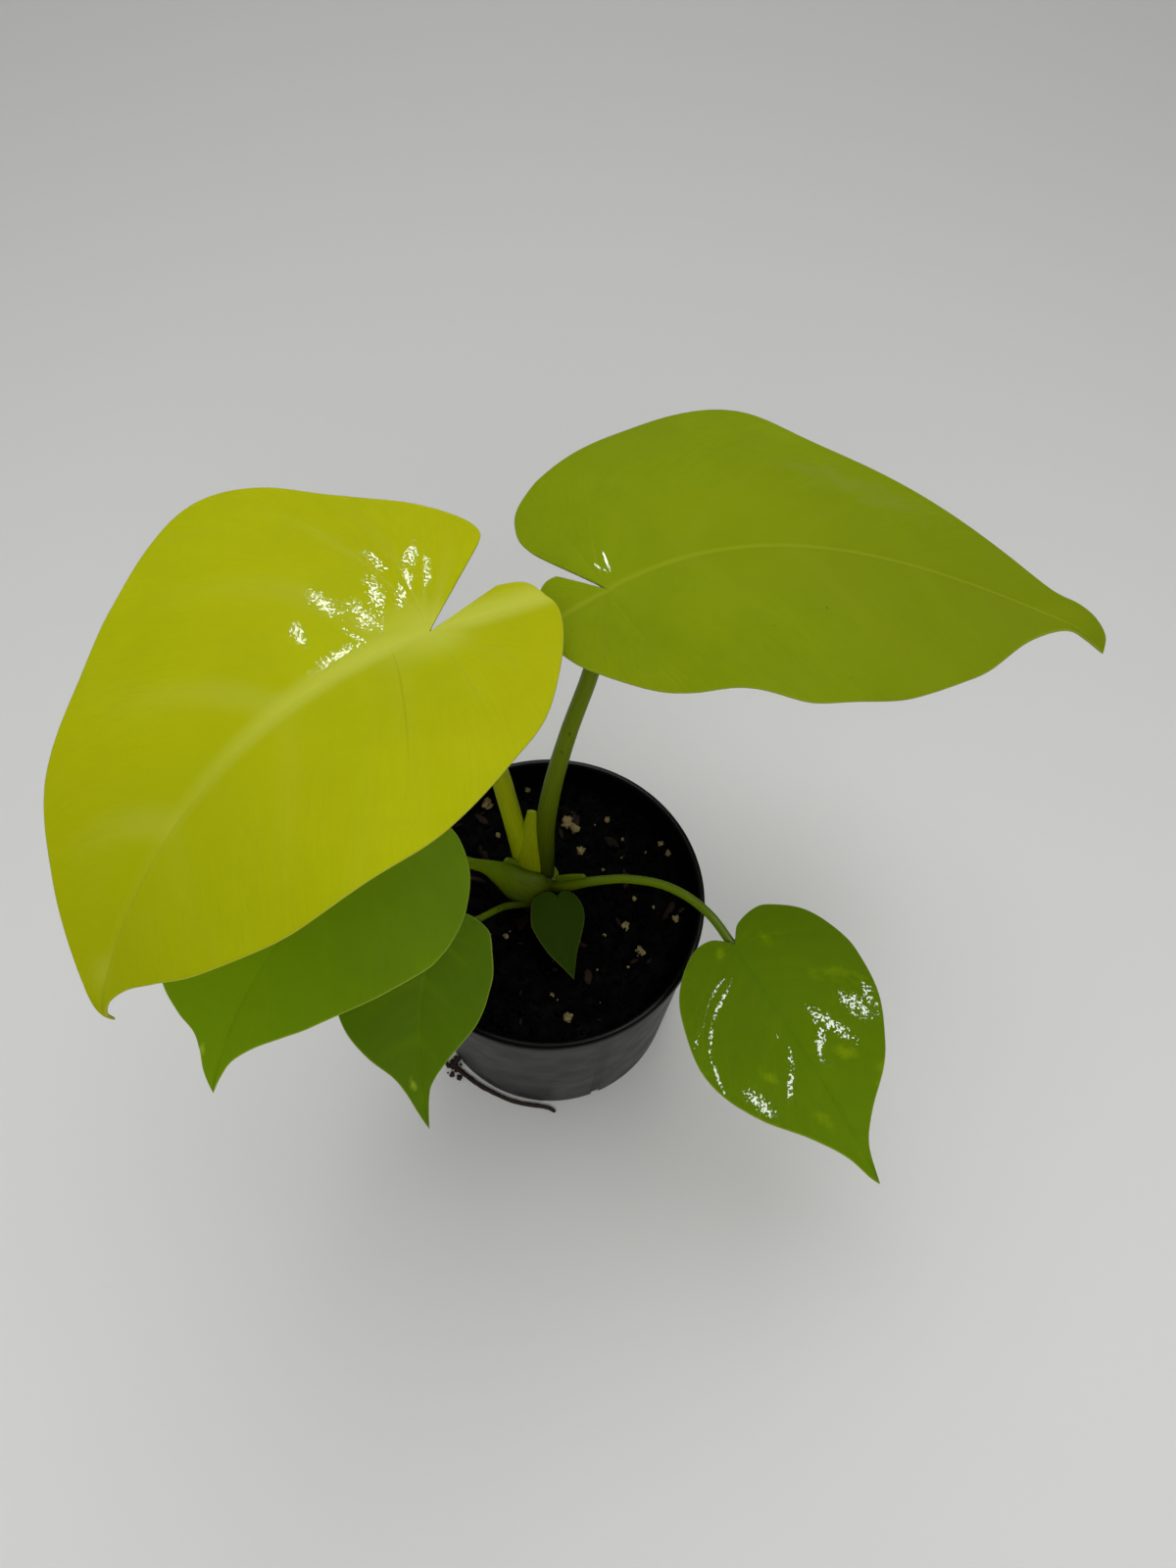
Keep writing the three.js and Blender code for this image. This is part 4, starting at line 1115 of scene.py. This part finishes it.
# How each blade looks. colour, tip, pale, rib and worn_and_sheen_tint multiply the setting that
# "of" names. The tones, crease_shade, edge, blotches and wear_and_sheen run from 0 to 1;
# crease_shade is painted shade in the creases, and wear_and_sheen is the strength of the pale
# scuffs and painted sheens. rib_width is in millimetres at the stalk and at the tip, and hub is
# the reach of the pale tissue where the veins meet. streaks and lines are depths in metres. satin
# is the roughness of the blade. grain is how fine the shining film breaks up per metre, film how
# far it spreads and coat how strong it is.
LOOK = dict(of="green", slot="green_leaf", colour=(1, 1, 1), tip=(1.15, 1.1, 1),
            pale=(1.5, 1.3, 2), rib=(1.35, 1.2, 2), rib_width=(1.6, 0.4), rib_tone=0.5,
            rib_end=0.8, hub=2, vein_tone=0.12, vein_width=0.2, vein_left=1, crease_shade=0, edge=0.5,
            blotches=0, worn_and_sheen_tint=(3, 2.1, 60), wear_and_sheen=0.5, streaks=0.00005, lines=0.00002, satin=0.8,
            specular=0.06, grain=1100, film=0.3, coat=0.9)
LOOKS = {
    "big_left": dict(of="gold", slot="gold_leaf", tip=(0.9, 0.92, 1), pale=(1.12, 1.08, 60),
                     rib=(1.34, 1.3, 110), rib_width=(6.5, 1.8), rib_tone=0.85, rib_end=0.08,
                     hub=14, vein_tone=0.5, vein_left=0.25, crease_shade=0.4, edge=0.35,
                     streaks=0.0001, lines=0.000025, satin=0.95, specular=0.04, grain=1500,
                     film=0.08, coat=0.75),
    "big_right": dict(of="lime", slot="lime_leaf", colour=(1.16, 1.12, 1), tip=(1.02, 0.96, 1),
                      pale=(1.35, 1.2, 10), rib=(1.5, 1.3, 14), rib_width=(1.6, 0.6),
                      # The tint on the line below is that of the painted sheen on this leaf.
                      rib_tone=0.8, vein_tone=0.25, worn_and_sheen_tint=(1.25, 1.12, 40), lines=0.00004,
                      satin=0.95, specular=0.04, film=1.2),
    "mid_left": dict(rib_tone=0.2),
    "low_left": dict(colour=(0.6, 0.64, 1), tip=(0.64, 0.67, 1), rib_tone=0.1),
    "low_right": dict(colour=(0.78, 0.76, 1), tip=(0.86, 0.84, 1), pale=(1.7, 1.35, 2),
                      rib=(0.7, 0.76, 1), rib_width=(3.6, 1.5), rib_tone=0.6, rib_end=0.3,
                      hub=0.5, blotches=0.4, worn_and_sheen_tint=(1.5, 1.2, 1.5), wear_and_sheen=0.8, streaks=0.00006,
                      lines=0.00004, satin=0.95, specular=0.04, film=0.2, coat=0.75),
    "tiny": dict(of="deep", tip=(1, 1, 1), vein_tone=0.05, rib_tone=0.2, edge=0.25, satin=0.95,
                 specular=0.04),
}


class PLANT_OT_make_leaves(bpy.types.Operator):
    """Makes the six blades, each bent, folded and veined from its plan"""

    bl_idname = "plant.make_leaves"
    bl_label = "Leaves"
    bl_options = {"REGISTER", "UNDO"}

    def execute(self, context):
        plant = settings("plant_leaves")
        for name, changes in LEAVES.items():
            plan = {**LEAF, **changes}
            look = {**LOOK, **plan, **LOOKS[name]}
            for key in ("colour", "tip", "pale", "rib", "worn_and_sheen_tint"):
                look[key] = tuple(a * b for a, b in zip(getattr(plant, look["of"]), look[key]))
            finish_piece(leaf_mesh(plan, plant), "blade_" + name,
                         [blade_finish("blade_" + name, look)], look["slot"], ["leaf_" + name])
        return {"FINISHED"}


# Stage

class PLANT_OT_make_stage(bpy.types.Operator):
    """Lays the pale floor, and sets up soft light and the camera"""

    bl_idname = "plant.make_stage"
    bl_label = "Stage"
    bl_options = {"REGISTER", "UNDO"}

    CAMERA = (0.0116, -0.1529, 0.4573)
    DOWN = 61.7
    TURNED = 2.2
    FLOOR_HALF = 3
    # Share of the room light that shiny surfaces don't show, as the real room is dark above.
    UNSEEN_ROOM = 0.88
    # Large soft lights that light the plant: place and share of the power. All look at AIM.
    SOFT_LIGHTS = (
        ("soft_behind", (0, 0.35, 1.25), 0.7),
        ("soft_far", (0, 1.1, 1.2), 0.57),
        ("soft_front", (0, -0.9, 1.2), 0.98),
    )
    SOFT_SIZE = 0.9
    AIM = Vector((0, 0, 0.1))
    # Long lamps overhead that only show as glints on what is shiny: both ends and width.
    LAMPS = (
        ("lamp_left", (0.09, 0.777), (-0.3, 0.082), 0.2),
        ("lamp_small", (-0.25, 0.57), (-0.28, 0.44), 0.07),
        ("lamp_right", (0.44, 0.37), (0.44, -0.22), 0.25),
        ("lamp_far", (0.64, 0.16), (0.64, -0.14), 0.08),
        ("lamp_near", (0.25, 0), (0.25, -0.15), 0.12),
    )
    LAMP_SHARE = 0.28
    LAMP_HEIGHT = 0.9

    def execute(self, context):
        stage = settings("plant_stage")
        bm = bmesh.new()
        bmesh.ops.create_grid(bm, x_segments=8, y_segments=8, size=self.FLOOR_HALF)
        floor = new_object(bm, "floor", [floor_finish(stage.floor)])

        world = bpy.data.worlds.new("room")
        room = Graph(world, "Background")
        dim = room.node("ShaderNodeMath",
                        (room.node("ShaderNodeLightPath", (), "Is Glossy Ray"),
                         -stage.room * self.UNSEEN_ROOM, stage.room), operation="MULTIPLY_ADD")
        room.give({"Color": (1, 1, 0.995), "Strength": dim})
        context.scene.world = world
        for name, place, share in self.SOFT_LIGHTS:
            way = (self.AIM - Vector(place)).to_track_quat("-Z", "Y").to_euler()
            light = self.add_light(name, place, way, self.SOFT_SIZE, stage.window * share)
            light.visible_glossy = False
        for name, start, end, width in self.LAMPS:
            middle, reach = (Vector(start) + Vector(end)) / 2, Vector(end) - Vector(start)
            power = stage.lamp * self.LAMP_SHARE * math.pi * width * reach.length
            light = self.add_light(name, (*middle, self.LAMP_HEIGHT),
                                   (0, 0, math.atan2(reach.y, reach.x)), reach.length, power)
            light.data.shape = "RECTANGLE"
            light.data.size_y = width
            light.visible_diffuse = False

        camera = bpy.data.cameras.new("camera")
        camera.lens = stage.lens
        camera.clip_start = 0.01
        eye = bpy.data.objects.new("camera", camera)
        eye.matrix_world = (Matrix.Translation(self.CAMERA)
                            @ Matrix.Rotation(math.radians(90 - self.DOWN), 4, "X")
                            @ Matrix.Rotation(math.radians(self.TURNED), 4, "Z"))
        context.scene.collection.objects.link(eye)
        context.scene.camera = eye
        context.scene.view_settings.view_transform = "Standard"
        return {"FINISHED"}

    def add_light(self, name, place, turn, size, power):
        light = bpy.data.lights.new(name, "AREA")
        light.shape = "DISK"
        light.size = size
        light.energy = power
        lamp = bpy.data.objects.new(name, light)
        lamp.location = place
        lamp.rotation_euler = turn
        bpy.context.scene.collection.objects.link(lamp)
        return lamp


# Add-on

class PLANT_PT_panel(bpy.types.Panel):
    """Lists the pieces and their settings"""

    bl_idname = "PLANT_PT_panel"
    bl_label = "Potted Golden Monstera"
    bl_space_type = "VIEW_3D"
    bl_region_type = "UI"
    bl_category = "Plant"

    def draw(self, context):
        for group, (kind, *makers) in GROUPS.items():
            box = self.layout.box()
            for key in kind.__annotations__:
                box.prop(settings(group), key)
            for maker in makers:
                box.operator(maker.bl_idname)


# Each group of settings, and the operators that read it.
GROUPS = {
    "plant_pot": (PotSettings, PLANT_OT_make_pot),
    "plant_soil": (SoilSettings, PLANT_OT_make_soil, PLANT_OT_make_roots),
    "plant_leaves": (PlantSettings, PLANT_OT_make_stem, PLANT_OT_make_stalks,
                     PLANT_OT_make_leaves),
    "plant_stage": (StageSettings, PLANT_OT_make_stage),
}
CLASSES = [cls for group in GROUPS.values() for cls in group] + [PLANT_PT_panel]


def register():
    for cls in CLASSES:
        bpy.utils.register_class(cls)
    for name, (kind, *_) in GROUPS.items():
        setattr(bpy.types.Scene, name, PointerProperty(type=kind))


def unregister():
    for name in GROUPS:
        delattr(bpy.types.Scene, name)
    for cls in reversed(CLASSES):
        bpy.utils.unregister_class(cls)


def main():
    register()
    bpy.ops.plant.make_pot()
    bpy.ops.plant.make_soil()
    bpy.ops.plant.make_roots()
    bpy.ops.plant.make_stem()
    bpy.ops.plant.make_stalks()
    bpy.ops.plant.make_leaves()
    bpy.ops.plant.make_stage()


if __name__ == "__main__":
    main()
